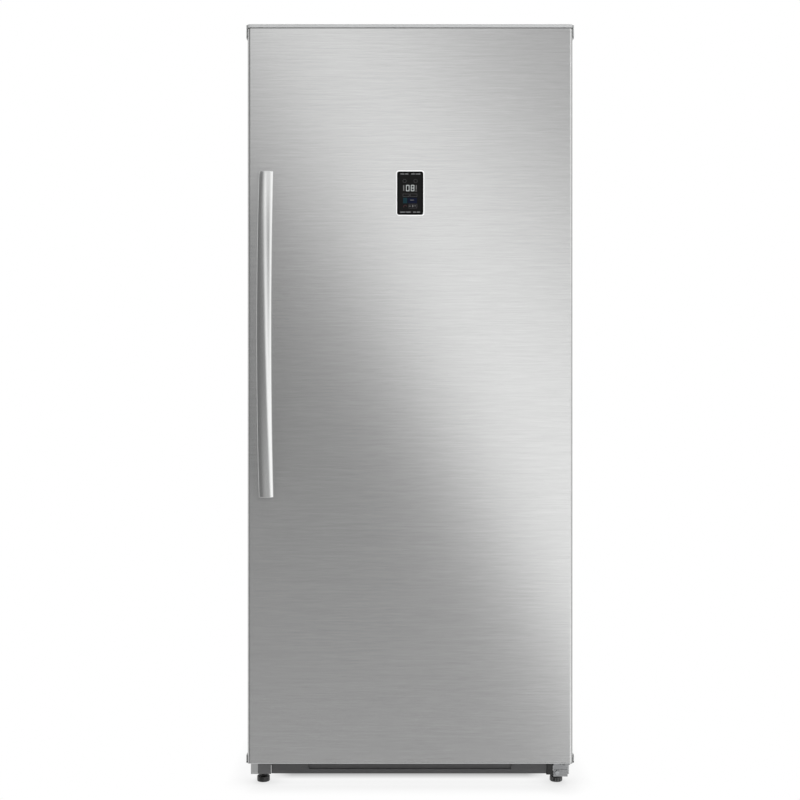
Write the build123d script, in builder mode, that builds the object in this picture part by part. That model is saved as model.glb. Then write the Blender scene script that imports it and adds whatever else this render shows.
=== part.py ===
from build123d import *

# Upright frost-free freezer with one full-height brushed-steel door.
#
# The door is hinged on the right. It carries an arched bar handle on the left and a small control
# panel at eye height, and five lift-off bins hang inside it. The white lined compartment holds
# four glass shelves and two pull-out drawers. The cooling coil, its heater and its fan stand
# behind a duct cover on the back wall, and the compressor has its own compartment at the bottom
# rear. The condenser is a hot wall: a tube loop in the foam against each side panel.
#
# Frame: millimetres, +Z up, +X to the viewer's right, the door's face towards -Y. The origin is
# on the floor under the middle of the whole outline, handle included.

import os
from math import asin, cos, degrees, radians, sin

os.makedirs("parts", exist_ok=True)

# ------------------------------------------------------------------ driving dimensions
DOOR_WIDTH = 816.0
DOOR_TOP = 1930.0
DOOR_BOTTOM = 77.5
DOOR_THICKNESS = 62.0
CAP_EAR = 3.0  # how far the end caps stand out at the door's sides
SEAL_GAP = 13.0  # between the door's inner face and the cabinet's front
CABINET_DEPTH = 665.0
CABINET_BOTTOM = 29.0

SHEET = 1.0  # painted and brushed steel sheet
LINER = 1.5  # thermoformed plastic
MOULDED = 2.0  # injection-moulded plastic
BRACKET_STEEL = 1.5
RUN = 0.3  # air between pieces that move past, or rest against, each other
PIN_FIT = 0.05  # radial air between a pin and its bush
TUBE_SIDES = 6  # thin pipes, rods and small holes are drawn with this many flats
CORNER_SIDES = 8  # small rounded corners
BOSS_SIDES = 16  # hubs, noses and collars
WHEEL_SIDES = 24  # larger round pieces
ROUND = 0  # the hinge pins, which the door turns on, are truly round

WALL_SIDE = 63.0  # outside of the cabinet to the lined space
WALL_TOP = 66.0
WALL_BACK = 66.0
WALL_FLOOR = 61.0
FLANGE = 36.5  # steel frame round the opening, which the gasket seals on
KICK_FLANGE = 18.0  # the same frame below the door
REAR_FLANGE = 14.0
BACK_BEAD = 5.0  # how far the pressed beads stand out of the back panel
PAN_LEVEL = 78.0  # underside of the cabinet's floor pan
COMPARTMENT_DEPTH = 205.0
COMPARTMENT_TOP = 250.0
STEP_FOAM = 52.0  # foam round the compressor compartment

HINGE_INSET = 16.0  # hinge axis to the door's edge
HINGE_SETBACK = 30.0  # hinge axis to the door's front
PIN_RADIUS = 6.0
HANDLE_LENGTH = 816.0
HANDLE_WIDTH = 36.6
HANDLE_THICKNESS = 10.0
HANDLE_REACH = 62.0  # the handle's middle to the door's front
HANDLE_END_REACH = 12.0  # its ends to the door's front
HANDLE_INSET = 48.3  # its centre line to the door's edge
HANDLE_MIDDLE = 1152.6
PANEL_WIDTH = 66.0
PANEL_HEIGHT = 109.0
PANEL_MIDDLE = 1506.5

SHELF_LEVELS = (545.0, 880.0, 1210.0, 1540.0)
SHELF_SETBACK = 146.0  # shelves' front edges behind the cabinet's front
GLASS = 4.0
BIN_LEVELS = (175.0, 540.0, 905.0, 1270.0, 1635.0)
BIN_HEIGHT = 95.0
BIN_DEPTH = 147.0
DRAWER_SETBACK = 159.0  # drawers' front plates behind the cabinet's front
LOWER_DRAWER = (150.0, 145.0)  # bottom level, height
UPPER_DRAWER = (320.0, 200.0)

# ------------------------------------------------------------------ planes that follow
overall_depth = HANDLE_REACH + DOOR_THICKNESS + SEAL_GAP + CABINET_DEPTH
door_front = -overall_depth / 2 + HANDLE_REACH
door_back = door_front + DOOR_THICKNESS
cabinet_front = door_back + SEAL_GAP
cabinet_back = cabinet_front + CABINET_DEPTH
door_half = DOOR_WIDTH / 2
cabinet_half = door_half
cabinet_top = DOOR_TOP + SHEET
inside_half = cabinet_half - SHEET

back_outer = cabinet_back - BACK_BEAD
back_inner = back_outer - SHEET
rear_lap = back_outer + SHEET  # outer face of the rear flanges, which lap the back panel
rim_level = PAN_LEVEL + FLANGE  # top of the frame below the opening
lintel_level = cabinet_top - FLANGE
frame_half = cabinet_half - FLANGE

cavity_half = cabinet_half - WALL_SIDE
cavity_floor = PAN_LEVEL + SHEET + WALL_FLOOR - LINER
cavity_ceiling = cabinet_top - WALL_TOP
cavity_back = cabinet_back - WALL_BACK
compartment_front = back_inner - COMPARTMENT_DEPTH
step_front = compartment_front - SHEET - STEP_FOAM - LINER
step_level = COMPARTMENT_TOP + SHEET + STEP_FOAM + LINER

hinge_x = door_half - HINGE_INSET
hinge_y = door_front + HINGE_SETBACK
liner_face = door_back - SHEET  # the door liner lies inside the skin's rear folds
shelf_front = cabinet_front + SHELF_SETBACK
drawer_front = cabinet_front + DRAWER_SETBACK


# ------------------------------------------------------------------ shared shapes
def write(piece, name):
    """Labels a finished piece and writes it under its own name."""
    piece.part.label = name
    export_step(piece.part, f"parts/{name}.step")


def facing(y):
    """Plane seen from the front at a depth; positive extrusions come towards the viewer."""
    return Plane(origin=(0, y, 0), x_dir=(1, 0, 0), z_dir=(0, -1, 0))


def block(x0, x1, y0, y1, z0, z1, mode=Mode.ADD):
    """A rectangular pad or cut between two corners of the part being built."""
    with Locations(((x0 + x1) / 2, (y0 + y1) / 2, (z0 + z1) / 2)):
        Box(abs(x1 - x0), abs(y1 - y0), abs(z1 - z0), mode=mode)


def window(x0, x1, y0, y1, mode=Mode.ADD):
    """A rectangle between two corners of the sketch being drawn."""
    with Locations(((x0 + x1) / 2, (y0 + y1) / 2)):
        Rectangle(abs(x1 - x0), abs(y1 - y0), mode=mode)


def rod(start, end, radius, mode=Mode.ADD, sides=TUBE_SIDES):
    """A bar or hole from one point to another of the part being built.

    Its flats lie inside a bar's true circle and outside a hole's, so the two never meet.
    """
    run = Vector(*end) - Vector(*start)
    with BuildSketch(Plane(origin=start, z_dir=run), mode=Mode.PRIVATE) as section:
        if sides == ROUND:
            Circle(radius)
        else:
            RegularPolygon(radius, sides, major_radius=mode != Mode.SUBTRACT)
    extrude(section.sketch, amount=run.length, mode=mode)


def small_hole(radius, mode=Mode.SUBTRACT):
    """A small hole of the sketch being drawn, with its flats outside its true circle."""
    RegularPolygon(radius, TUBE_SIDES, major_radius=False, mode=mode)


def eased_box(width, height, corner, mode=Mode.ADD):
    """A rectangle with cut corners, in the sketch being drawn."""
    with BuildSketch(mode=Mode.PRIVATE) as outline:
        Rectangle(width, height)
        chamfer(outline.vertices(), corner)
    add(outline.sketch, mode=mode)


def folded(points, thickness, side):
    """Face of a bent sheet: a strip on one side of a folded line, with square corners."""
    with BuildLine(mode=Mode.PRIVATE) as outline:
        Polyline(*points)
        offset(amount=thickness, side=side, kind=Kind.INTERSECTION)
    return make_face(outline.edges(), mode=Mode.PRIVATE)


def frame_face(half_width, low, high, border):
    """Face of an upright rectangular frame, centred on X."""
    with BuildSketch(mode=Mode.PRIVATE) as ring:
        window(-half_width, half_width, low, high)
        window(
            border - half_width, half_width - border, low + border, high - border, Mode.SUBTRACT
        )
    return ring.sketch


def eased(points, bend):
    """Corners of a bent pipe's route, with each bend drawn as a short chord across it."""
    corners = [Vector(*points[0])]
    for before, point, after in zip(points, points[1:], points[2:]):
        here = Vector(*point)
        for other in (before, after):
            corners.append(here + (Vector(*other) - here).normalized() * bend)
    return corners + [Vector(*points[-1])]


def tube(points, bend, radius):
    """A pipe that turns at every corner of its route, added to the part being built."""
    with BuildLine(mode=Mode.PRIVATE) as route:
        Polyline(*eased(points, bend))
    start = Plane(origin=route.line @ 0, z_dir=route.line % 0)
    with BuildSketch(start, mode=Mode.PRIVATE) as section:
        RegularPolygon(radius, TUBE_SIDES)
    sweep(section.sketch, path=route.line, transition=Transition.RIGHT)


# ================================================================== cabinet shell
SCREW_RADIUS = 2.0
SCREW_HEAD = 4.5
SCREW_INSET = 9.0
SCREW_LEVELS = (64.0, 145.0, 228.0)
cover_screws_at = [
    (side * (cabinet_half - SCREW_INSET), level) for side in (-1, 1) for level in SCREW_LEVELS
]

for side, name in ((-1, "side_panel_left"), (1, "side_panel_right")):
    with BuildPart() as side_panel:
        with BuildSketch(Plane.XY.offset(CABINET_BOTTOM)):
            add(
                folded(
                    [
                        (side * frame_half, cabinet_front),
                        (side * cabinet_half, cabinet_front),
                        (side * cabinet_half, rear_lap),
                        (side * (cabinet_half - REAR_FLANGE), rear_lap),
                    ],
                    SHEET,
                    Side.LEFT if side > 0 else Side.RIGHT,
                )
            )
        extrude(amount=cabinet_top - CABINET_BOTTOM)
        front_bend = side_panel.edges().filter_by(Axis.Z).group_by(Axis.Y)[0]
        fillet(front_bend.sort_by(Axis.X)[-1 if side > 0 else 0], 0.8 * SHEET)
        # Below the floor pan the front flange is narrower, to clear the kick rail.
        block(
            side * (frame_half - 1),
            side * (cabinet_half - KICK_FLANGE),
            cabinet_front - 1,
            cabinet_front + SHEET + 1,
            CABINET_BOTTOM - 1,
            PAN_LEVEL,
            Mode.SUBTRACT,
        )
        for x, level in cover_screws_at:
            if x * side > 0:
                rod(
                    (x, rear_lap - SHEET - 1, level),
                    (x, rear_lap + 1, level),
                    SCREW_RADIUS + RUN,
                    Mode.SUBTRACT,
                )
    write(side_panel, name)

TOP_BOLTS = ((20.0, 69.0), (52.0, 69.0), (36.0, 40.0))  # from the cabinet's front right corner
top_bolts = [(cabinet_half - dx, cabinet_front + dy) for dx, dy in TOP_BOLTS]
BOLT_RADIUS = 3.0
BOLT_HOLE = 3.3
BOLT_POCKET = 12.0  # room for the bolts' ends in the foam

with BuildPart() as top_panel:
    with BuildSketch(Plane.YZ):
        add(
            folded(
                [
                    (cabinet_front, lintel_level),
                    (cabinet_front, cabinet_top),
                    (rear_lap, cabinet_top),
                    (rear_lap, cabinet_top - REAR_FLANGE),
                ],
                SHEET,
                Side.RIGHT,
            )
        )
    extrude(amount=inside_half, both=True)
    for side in (-1, 1):
        # The flanges stop at the side panels' own flanges.
        for y0, y1, width in (
            (cabinet_front - 1, cabinet_front + SHEET, FLANGE),
            (rear_lap - SHEET, rear_lap + 1, REAR_FLANGE),
        ):
            block(
                side * (cabinet_half - width),
                side * (cabinet_half + 1),
                y0,
                y1,
                lintel_level - 1,
                cabinet_top + 1,
                Mode.SUBTRACT,
            )
    for x, y in top_bolts:
        rod((x, y, cabinet_top - 2 * SHEET), (x, y, cabinet_top + 1), BOLT_HOLE, Mode.SUBTRACT)
write(top_panel, "top_panel")

# Pipes that pass the compartment's ceiling: capillary, suction line and drain.
PIPE_RADIUS = 2.5
PIPE_HOLE = PIPE_RADIUS + RUN
COIL_SETBACK = 31.0  # the coil's tube row, and the pipes that reach it, before the back wall
SUCTION_INSET = 83.0
coil_depth = cavity_back - COIL_SETBACK
suction_x = cavity_half - SUCTION_INSET
capillary_x = -suction_x
DRAIN_RADIUS = 9.0
DRAIN_BORE = 5.5
WALL_TUBE_GAP = 0.1
TAIL_SETBACK = 60.0
TAIL_STEP = 41.0  # the right loop's rear tail lies this far behind the left one's
wall_tube_x = inside_half - PIPE_RADIUS - WALL_TUBE_GAP
tail_front = compartment_front + TAIL_SETBACK
wall_tube_tails = {-1: (coil_depth, tail_front), 1: (coil_depth + TAIL_STEP, tail_front)}
ceiling_passages = [(capillary_x, coil_depth, PIPE_HOLE), (suction_x, coil_depth, PIPE_HOLE)]
ceiling_passages.append((0, coil_depth, DRAIN_RADIUS + RUN))

with BuildPart() as bottom_pan:
    with BuildSketch(Plane.YZ):
        add(
            folded(
                [
                    (cabinet_front, rim_level),
                    (cabinet_front, PAN_LEVEL),
                    (compartment_front, PAN_LEVEL),
                    (compartment_front, COMPARTMENT_TOP),
                    (back_inner, COMPARTMENT_TOP),
                ],
                SHEET,
                Side.LEFT,
            )
        )
    extrude(amount=inside_half, both=True)
    for side in (-1, 1):
        block(
            side * frame_half,
            side * (cabinet_half + 1),
            cabinet_front - 1,
            cabinet_front + SHEET,
            PAN_LEVEL - 1,
            rim_level + 1,
            Mode.SUBTRACT,
        )
        for y in wall_tube_tails[side]:
            ceiling_passages.append((side * wall_tube_x, y, PIPE_HOLE))
    for x, y, radius in ceiling_passages:
        rod(
            (x, y, COMPARTMENT_TOP - 1),
            (x, y, COMPARTMENT_TOP + SHEET + 1),
            radius,
            Mode.SUBTRACT,
        )
write(bottom_pan, "bottom_pan")

BEAD_INSET = 98.0
BEAD_WIDTH = 36.0
BEAD_SLOPE = 20.0
bead_length = DOOR_WIDTH - 2 * BEAD_INSET
BEAD_COUNT = 6
bead_pitch = (cabinet_top - COMPARTMENT_TOP) / (BEAD_COUNT + 1)
bead_levels = [COMPARTMENT_TOP + bead_pitch * (i + 1) for i in range(BEAD_COUNT)]
PANEL_LAP = 10.0  # the back panel laps the compartment's rear edge
panel_low = COMPARTMENT_TOP - PANEL_LAP


def beads(y, height, inset, mode):
    """Horizontal stiffening beads that rise from a plane of the back panel."""
    with BuildSketch(facing(y), mode=Mode.PRIVATE) as slots:
        with Locations(*[(0, level) for level in bead_levels]):
            Rectangle(bead_length - 2 * inset, BEAD_WIDTH - 2 * inset)
    extrude(slots.sketch, amount=-height, taper=BEAD_SLOPE, mode=mode)


with BuildPart() as back_panel:
    with BuildSketch(facing(back_inner)):
        window(-inside_half, inside_half, panel_low, cabinet_top - SHEET)
    extrude(amount=-SHEET)
    beads(back_outer, BACK_BEAD, 0, Mode.ADD)
    beads(back_inner, BACK_BEAD, SHEET, Mode.SUBTRACT)
write(back_panel, "back_panel")


# ================================================================== lined space
def lined_space(growth, mouth):
    """The white compartment's inside, grown on every side, from the mouth to the back wall."""
    with BuildPart(mode=Mode.PRIVATE) as space:
        with BuildSketch(Plane.YZ):
            with BuildLine():
                Polyline(
                    (mouth, cavity_floor - growth),
                    (step_front + growth, cavity_floor - growth),
                    (step_front + growth, step_level - growth),
                    (cavity_back + growth, step_level - growth),
                    (cavity_back + growth, cavity_ceiling + growth),
                    (mouth, cavity_ceiling + growth),
                    close=True,
                )
            make_face()
        extrude(amount=cavity_half + growth, both=True)
        rear_corners = space.edges().filter_by(Axis.Z).group_by(Axis.Y)[1:]
        fillet([edge for group in rear_corners for edge in group], CORNER_RADIUS + growth)
    return space.part


CORNER_RADIUS = 18.0
LEDGE = 7.5  # width of the moulded ledges that carry the shelves
LEDGE_HEIGHT = 8.0
RAIL = 15.0  # width of the moulded rails that carry the drawers
RAIL_START = 74.0  # the drawers' rails behind the cabinet's front
RAIL_DROP = 8.0  # the rails below a drawer's upper edge
COIL_DUCT = 73.0  # depth of the duct cover over the coil, and above it
AIR_DUCT = 30.0
rail_start = cabinet_front + RAIL_START
duct_low_front = cavity_back - COIL_DUCT
duct_high_front = cavity_back - AIR_DUCT
SHELF_REAR_GAP = 4.0
LOWER_DRAWER_GAP = 10.5  # to the moulded step
UPPER_DRAWER_GAP = 7.0  # to the duct cover
DUCT_SHOULDER = 760.0
TRIM_DEPTH = 14.0  # depth of the nosing on a shelf's front and rear edges
ledge_front = shelf_front + TRIM_DEPTH + RUN
drawers = {
    "lower_drawer": (*LOWER_DRAWER, step_front - LOWER_DRAWER_GAP),  # bottom, height, rear
    "upper_drawer": (*UPPER_DRAWER, duct_low_front - UPPER_DRAWER_GAP),
}


def shelf_back(level):
    """Rear edge of the shelf at a level, just clear of the duct cover."""
    duct = duct_low_front if level < DUCT_SHOULDER else duct_high_front
    return duct - SHELF_REAR_GAP


with BuildPart() as inner_liner:
    add(lined_space(LINER, cabinet_front))
    with BuildSketch(facing(cabinet_front)):
        window(-frame_half, frame_half, rim_level, lintel_level)
    extrude(amount=-LINER)
    add(lined_space(0, cabinet_front - 1), mode=Mode.SUBTRACT)
    for side in (-1, 1):
        wall = side * cavity_half
        for level in SHELF_LEVELS:
            block(
                side * (cavity_half - LEDGE),
                wall,
                ledge_front,
                shelf_back(level) - 8,
                level - LEDGE_HEIGHT,
                level,
            )
        for bottom, height, rear in drawers.values():
            rail_top = bottom + height - RAIL_DROP
            block(
                side * (cavity_half - RAIL),
                wall,
                rail_start,
                rear - 5,
                rail_top - LEDGE_HEIGHT,
                rail_top,
            )
    for x in (capillary_x, suction_x):
        rod(
            (x, coil_depth, step_level - LINER - 1),
            (x, coil_depth, step_level + 1),
            PIPE_HOLE,
            Mode.SUBTRACT,
        )
    rod(
        (0, coil_depth, step_level - LINER - 1),
        (0, coil_depth, step_level + 1),
        DRAIN_RADIUS + RUN,
        Mode.SUBTRACT,
    )
write(inner_liner, "inner_liner")

# ================================================================== hot-wall condenser
WALL_TUBE_DROP = 141.0  # from the cabinet's top and front
WALL_TUBE_SETBACK = 114.0
WALL_TUBE_BEND = 30.0
TAIL_LENGTH = 2.0  # below the compartment's ceiling
RETURN_RISE = 92.2  # of the loop's lower run above the compartment
wall_tube_top = cabinet_top - WALL_TUBE_DROP
wall_tube_front = cabinet_front + WALL_TUBE_SETBACK
tail_level = COMPARTMENT_TOP - TAIL_LENGTH
return_level = COMPARTMENT_TOP + RETURN_RISE


def wall_loop(side):
    """Route of one side panel's condenser loop, as (depth, level) corners."""
    rear, front = wall_tube_tails[side]
    return [
        (rear, tail_level),
        (rear, wall_tube_top),
        (wall_tube_front, wall_tube_top),
        (wall_tube_front, return_level),
        (front, return_level),
        (front, tail_level),
    ]


with BuildPart() as condenser_tubes:
    for side in (-1, 1):
        corners = [(side * wall_tube_x, y, z) for y, z in wall_loop(side)]
        tube(corners, WALL_TUBE_BEND, PIPE_RADIUS)
write(condenser_tubes, "condenser_tubes")

# ================================================================== foam
with BuildPart() as cabinet_foam:
    with BuildSketch(Plane.YZ):
        with BuildLine():
            Polyline(
                (cabinet_front + SHEET, PAN_LEVEL + SHEET),
                (compartment_front - SHEET, PAN_LEVEL + SHEET),
                (compartment_front - SHEET, COMPARTMENT_TOP + SHEET),
                (back_inner, COMPARTMENT_TOP + SHEET),
                (back_inner, cabinet_top - SHEET),
                (cabinet_front + SHEET, cabinet_top - SHEET),
                close=True,
            )
        make_face()
    extrude(amount=inside_half, both=True)
    beads(back_inner, BACK_BEAD, SHEET, Mode.ADD)
    add(lined_space(LINER, cabinet_front - 1), mode=Mode.SUBTRACT)
    with BuildSketch(facing(cabinet_front)):
        window(-frame_half, frame_half, rim_level, lintel_level)
    extrude(amount=-LINER, mode=Mode.SUBTRACT)
    for side in (-1, 1):
        with BuildSketch(Plane.YZ.offset(side * inside_half)):
            with BuildLine():
                Polyline(*eased(wall_loop(side), WALL_TUBE_BEND))
            trace(line_width=2 * PIPE_HOLE)
        extrude(amount=-side * (2 * PIPE_RADIUS + WALL_TUBE_GAP + RUN), mode=Mode.SUBTRACT)
    for x, y in top_bolts:
        rod((x, y, cabinet_top - BOLT_POCKET), (x, y, cabinet_top), BOLT_HOLE, Mode.SUBTRACT)
    for x, y, radius in ceiling_passages[:3]:
        rod((x, y, COMPARTMENT_TOP), (x, y, step_level), radius, Mode.SUBTRACT)
write(cabinet_foam, "cabinet_foam")


# ================================================================== air duct and cooling coil
DUCT_INSET = 45.0
DUCT_DROP = 75.0
DUCT_BEND = 12.0
duct_half = cavity_half - DUCT_INSET
duct_top = cavity_ceiling - DUCT_DROP
DUCT_SLOPE = 45.0  # height of the slope from the lower front back to the upper front
FAN_LEVEL = 700.0
FAN_RADIUS = 50.0
FAN_RING = 58.0  # bore of the ring round the fan
RING_DEPTH = 30.0
GRILLE_PITCH = 15.0
GRILLE_BAR = 4.0
RETURN_SLOT = (14.0, 40.0)
RETURN_SLOTS = 10
RETURN_PITCH = 52.0
RETURN_LEVEL = 36.0  # above the step
OUTLET = (110.0, 20.0)
OUTLET_PITCH = 250.0
OUTLET_DROP = 60.0  # below each shelf
TOP_OUTLET = 120.0  # below the ceiling, before the same drop


def duct_profile(wall, base, rear):
    """Side view of the duct cover, set in by a wall, as (depth, level) corners."""
    return [
        (rear, base),
        (duct_low_front + wall, base),
        (duct_low_front + wall, DUCT_SHOULDER - 0.5 * wall),
        (duct_high_front + wall, DUCT_SHOULDER + DUCT_SLOPE - 0.5 * wall),
        (duct_high_front + wall, duct_top - wall),
        (rear, duct_top - wall),
    ]


with BuildPart() as duct_cover:
    with BuildSketch(Plane.YZ):
        with BuildLine():
            Polyline(*duct_profile(0, step_level, cavity_back), close=True)
        make_face()
    extrude(amount=duct_half, both=True)
    front_edges = duct_cover.edges().filter_by(Axis.X).group_by(Axis.Y)
    fillet(front_edges[0].sort_by(Axis.Z)[-1], DUCT_BEND)
    with BuildSketch(Plane.YZ):
        with BuildLine():
            Polyline(*duct_profile(MOULDED, step_level - 1, cavity_back + 1), close=True)
        make_face()
    extrude(amount=duct_half - MOULDED, both=True, mode=Mode.SUBTRACT)
    # Ring round the fan, then the grille in front of it: slots that follow the circle.
    with BuildSketch(facing(duct_low_front + MOULDED)):
        with Locations((0, FAN_LEVEL)):
            RegularPolygon(FAN_RING + MOULDED, BOSS_SIDES)
            RegularPolygon(FAN_RING, BOSS_SIDES, mode=Mode.SUBTRACT)
    extrude(amount=-RING_DEPTH)
    with BuildSketch(facing(duct_low_front)):
        for row in range(-3, 4):
            chord = 2 * ((FAN_RADIUS + GRILLE_BAR) ** 2 - (row * GRILLE_PITCH) ** 2) ** 0.5
            with Locations((0, FAN_LEVEL + row * GRILLE_PITCH)):
                Rectangle(chord, GRILLE_PITCH - GRILLE_BAR)
        # Return air slots at the foot.
        with Locations((0, step_level + RETURN_LEVEL)):
            with GridLocations(RETURN_PITCH, 0, RETURN_SLOTS, 1):
                Rectangle(*RETURN_SLOT)
    extrude(amount=-MOULDED, mode=Mode.SUBTRACT)
    with BuildSketch(facing(duct_high_front)):
        for level in SHELF_LEVELS[1:] + (cavity_ceiling - TOP_OUTLET,):
            with Locations((0, level - OUTLET_DROP)):
                with GridLocations(OUTLET_PITCH, 0, 2, 1):
                    Rectangle(*OUTLET)
    extrude(amount=-MOULDED, mode=Mode.SUBTRACT)
write(duct_cover, "duct_cover")

COIL_END_ROOM = 47.0  # for the return bends, before the suction line
COIL_DEPTH = 61.0
COIL_LOW = 400.0
COIL_HIGH = 640.0
FIRST_ROW = 30.0
FIN_DEPTH = 12.0
FIN_WEB = 3.0
LEAD_LENGTH = 12.0  # of the capillary's and suction line's ends at the coil
coil_half = suction_x - COIL_END_ROOM
coil_front = cavity_back - COIL_DEPTH
COIL_ROWS = 5
COIL_PITCH = 45.0
COIL_TUBE = 4.5
FIN_PITCH = 40.0
fin_gaps = int(2 * coil_half / FIN_PITCH)
coil_rows = [COIL_LOW + FIRST_ROW + COIL_PITCH * row for row in range(COIL_ROWS)]

with BuildPart() as evaporator:
    block(-coil_half, coil_half, coil_front, cavity_back - RUN, COIL_LOW, COIL_HIGH)
    # The gaps between the fins, open to the front and the back.
    with BuildSketch(Plane.XY.offset(COIL_LOW)):
        for y in (coil_front, cavity_back - RUN):
            with Locations((0, y)):
                with GridLocations(FIN_PITCH, 0, fin_gaps, 1):
                    Rectangle(FIN_PITCH - FIN_WEB, 2 * FIN_DEPTH)
    extrude(amount=COIL_HIGH - COIL_LOW, mode=Mode.SUBTRACT)
    # Return bends outside the end fins, and the two free ends.
    for i in range(COIL_ROWS - 1):
        side = 1 if i % 2 == 0 else -1
        low, high = coil_rows[i], coil_rows[i + 1]
        start, turn = side * coil_half, side * (coil_half + COIL_PITCH / 2)
        tube(
            [
                (start, coil_depth, low),
                (turn, coil_depth, low),
                (turn, coil_depth, high),
                (start, coil_depth, high),
            ],
            0.45 * COIL_PITCH,
            COIL_TUBE,
        )
    for side, level in ((-1, coil_rows[0]), (1, coil_rows[-1])):
        rod(
            (side * coil_half, coil_depth, level),
            (side * (suction_x - LEAD_LENGTH), coil_depth, level),
            COIL_TUBE,
        )
write(evaporator, "evaporator")

HEATER_LEVEL = 370.0
HEATER_RADIUS = 5.0
HANGER = 7.0  # half the width of the two hangers
heater_half = coil_half - 4
with BuildPart() as defrost_heater:
    rod((-heater_half, coil_depth, HEATER_LEVEL), (heater_half, coil_depth, HEATER_LEVEL), HEATER_RADIUS)
    for side in (-1, 1):
        block(
            side * heater_half,
            side * (heater_half - BRACKET_STEEL),
            coil_depth - HANGER,
            coil_depth + HANGER,
            HEATER_LEVEL - HANGER,
            COIL_LOW,
        )
write(defrost_heater, "defrost_heater")

TROUGH_OVERHANG = 20.0
TROUGH_DEPTH = 67.0
TROUGH_TOP = 342.0
TROUGH_SIDE = 14.0
TROUGH_LOW = 307.0
COLLAR = 6.0
trough_half = coil_half + TROUGH_OVERHANG
trough_front = cavity_back - TROUGH_DEPTH
DRAIN_FOOT = 84.0
with BuildPart() as drain_trough:
    with BuildSketch(facing(trough_front)):
        with BuildLine():
            Polyline(
                (-trough_half, TROUGH_TOP),
                (-trough_half, TROUGH_TOP - TROUGH_SIDE),
                (-DRAIN_RADIUS, TROUGH_LOW),
                (DRAIN_RADIUS, TROUGH_LOW),
                (trough_half, TROUGH_TOP - TROUGH_SIDE),
                (trough_half, TROUGH_TOP),
                close=True,
            )
        make_face()
    extrude(amount=trough_front - cavity_back + RUN)
    offset(amount=-SHEET, openings=drain_trough.faces().sort_by(Axis.Z)[-1])
    # Collar that rests on the liner's step, and the spout down to the drain pan.
    rod((0, coil_depth, step_level), (0, coil_depth, TROUGH_LOW + SHEET), DRAIN_RADIUS + COLLAR)
    rod((0, coil_depth, DRAIN_FOOT), (0, coil_depth, TROUGH_LOW + SHEET), DRAIN_RADIUS)
    rod(
        (0, coil_depth, DRAIN_FOOT - 1),
        (0, coil_depth, TROUGH_LOW + 2 * SHEET),
        DRAIN_BORE,
        Mode.SUBTRACT,
    )
write(drain_trough, "drain_trough")

# ------------------------------------------------------------------ fan
SHAFT_RADIUS = 2.5
HUB_RADIUS = 13.0
BLADES = 5
FAN_SETBACK = 63.0
HUB_DEPTH = 20.0
MOTOR_RADIUS = 22.0
MOTOR_GAP = 6.0  # between the fan and its motor
ARM_REACH = 34.0
ARM_WIDTH = 10.0
ARM_DEPTH = 8.0
SHAFT_INSET = 3.0  # of the shaft's end in the fan's hub
BLADE_HALF = 0.7  # half a blade's thickness
BLADE_SINE, BLADE_COSINE = 0.6, 0.8  # of the blades' pitch
fan_front = cavity_back - FAN_SETBACK
motor_front = fan_front + HUB_DEPTH + MOTOR_GAP

with BuildPart() as fan_motor:
    with BuildSketch(facing(motor_front)):
        with Locations((0, FAN_LEVEL)):
            RegularPolygon(MOTOR_RADIUS, BOSS_SIDES)
    extrude(amount=motor_front - cavity_back + RUN)
    # Three arms carry the motor on the back wall.
    with BuildSketch(facing(cavity_back - RUN - ARM_DEPTH)):
        with Locations((0, FAN_LEVEL)):
            with PolarLocations(ARM_REACH, 3, start_angle=90):
                Rectangle(ARM_REACH, ARM_WIDTH)
    extrude(amount=-ARM_DEPTH)
    rod(
        (0, fan_front + SHAFT_INSET, FAN_LEVEL),
        (0, motor_front + 2, FAN_LEVEL),
        SHAFT_RADIUS,
        sides=WHEEL_SIDES,
    )
write(fan_motor, "fan_motor")

with BuildPart() as evaporator_fan:
    with BuildSketch(facing(fan_front)):
        with Locations((0, FAN_LEVEL)):
            RegularPolygon(HUB_RADIUS, BOSS_SIDES)
    extrude(amount=-HUB_DEPTH)
    for i in range(BLADES):
        # A pitched blade that widens from its root to its tip.
        turn = radians(360 / BLADES * i)
        out = Vector(sin(turn), 0, cos(turn))
        centre = Vector(0, fan_front + HUB_DEPTH / 2, FAN_LEVEL)
        normal = (cos(turn) * BLADE_SINE, BLADE_COSINE, -sin(turn) * BLADE_SINE)
        pitched = Plane(origin=centre, x_dir=out, z_dir=normal)
        with BuildSketch(pitched):
            Polygon(
                (HUB_RADIUS - 3, -8), (FAN_RADIUS - 2, -17), (FAN_RADIUS, 12), (HUB_RADIUS - 3, 8),
                align=None,
            )
        extrude(amount=BLADE_HALF, both=True)
    rod(
        (0, fan_front + SHAFT_INSET, FAN_LEVEL),
        (0, fan_front + HUB_DEPTH + 1, FAN_LEVEL),
        SHAFT_RADIUS + PIN_FIT,
        Mode.SUBTRACT,
    )
write(evaporator_fan, "evaporator_fan")

LAMP_LENGTH = 200.0
LAMP_WIDTH = 42.0
LAMP_CORNER = 6.0
LAMP_HEIGHT = 12.0
LAMP_SLOPE = 12.0
LAMP_SETBACK = 69.0
with BuildPart() as led_lamp:
    with BuildSketch(Plane.XY.offset(cavity_ceiling)):
        with Locations((0, cabinet_front + LAMP_SETBACK)):
            eased_box(LAMP_LENGTH, LAMP_WIDTH, LAMP_CORNER)
    extrude(amount=-LAMP_HEIGHT, taper=LAMP_SLOPE)
write(led_lamp, "led_lamp")

# ================================================================== shelves
SHELF_SIDE_GAP = 3.0
shelf_half = cavity_half - SHELF_SIDE_GAP

for number, level in enumerate(SHELF_LEVELS, start=1):
    with BuildPart() as glass_shelf:
        block(
            -shelf_half,
            shelf_half,
            shelf_front + MOULDED,
            shelf_back(level) - MOULDED,
            level,
            level + GLASS,
        )
    write(glass_shelf, f"glass_shelf_{number}")

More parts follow.
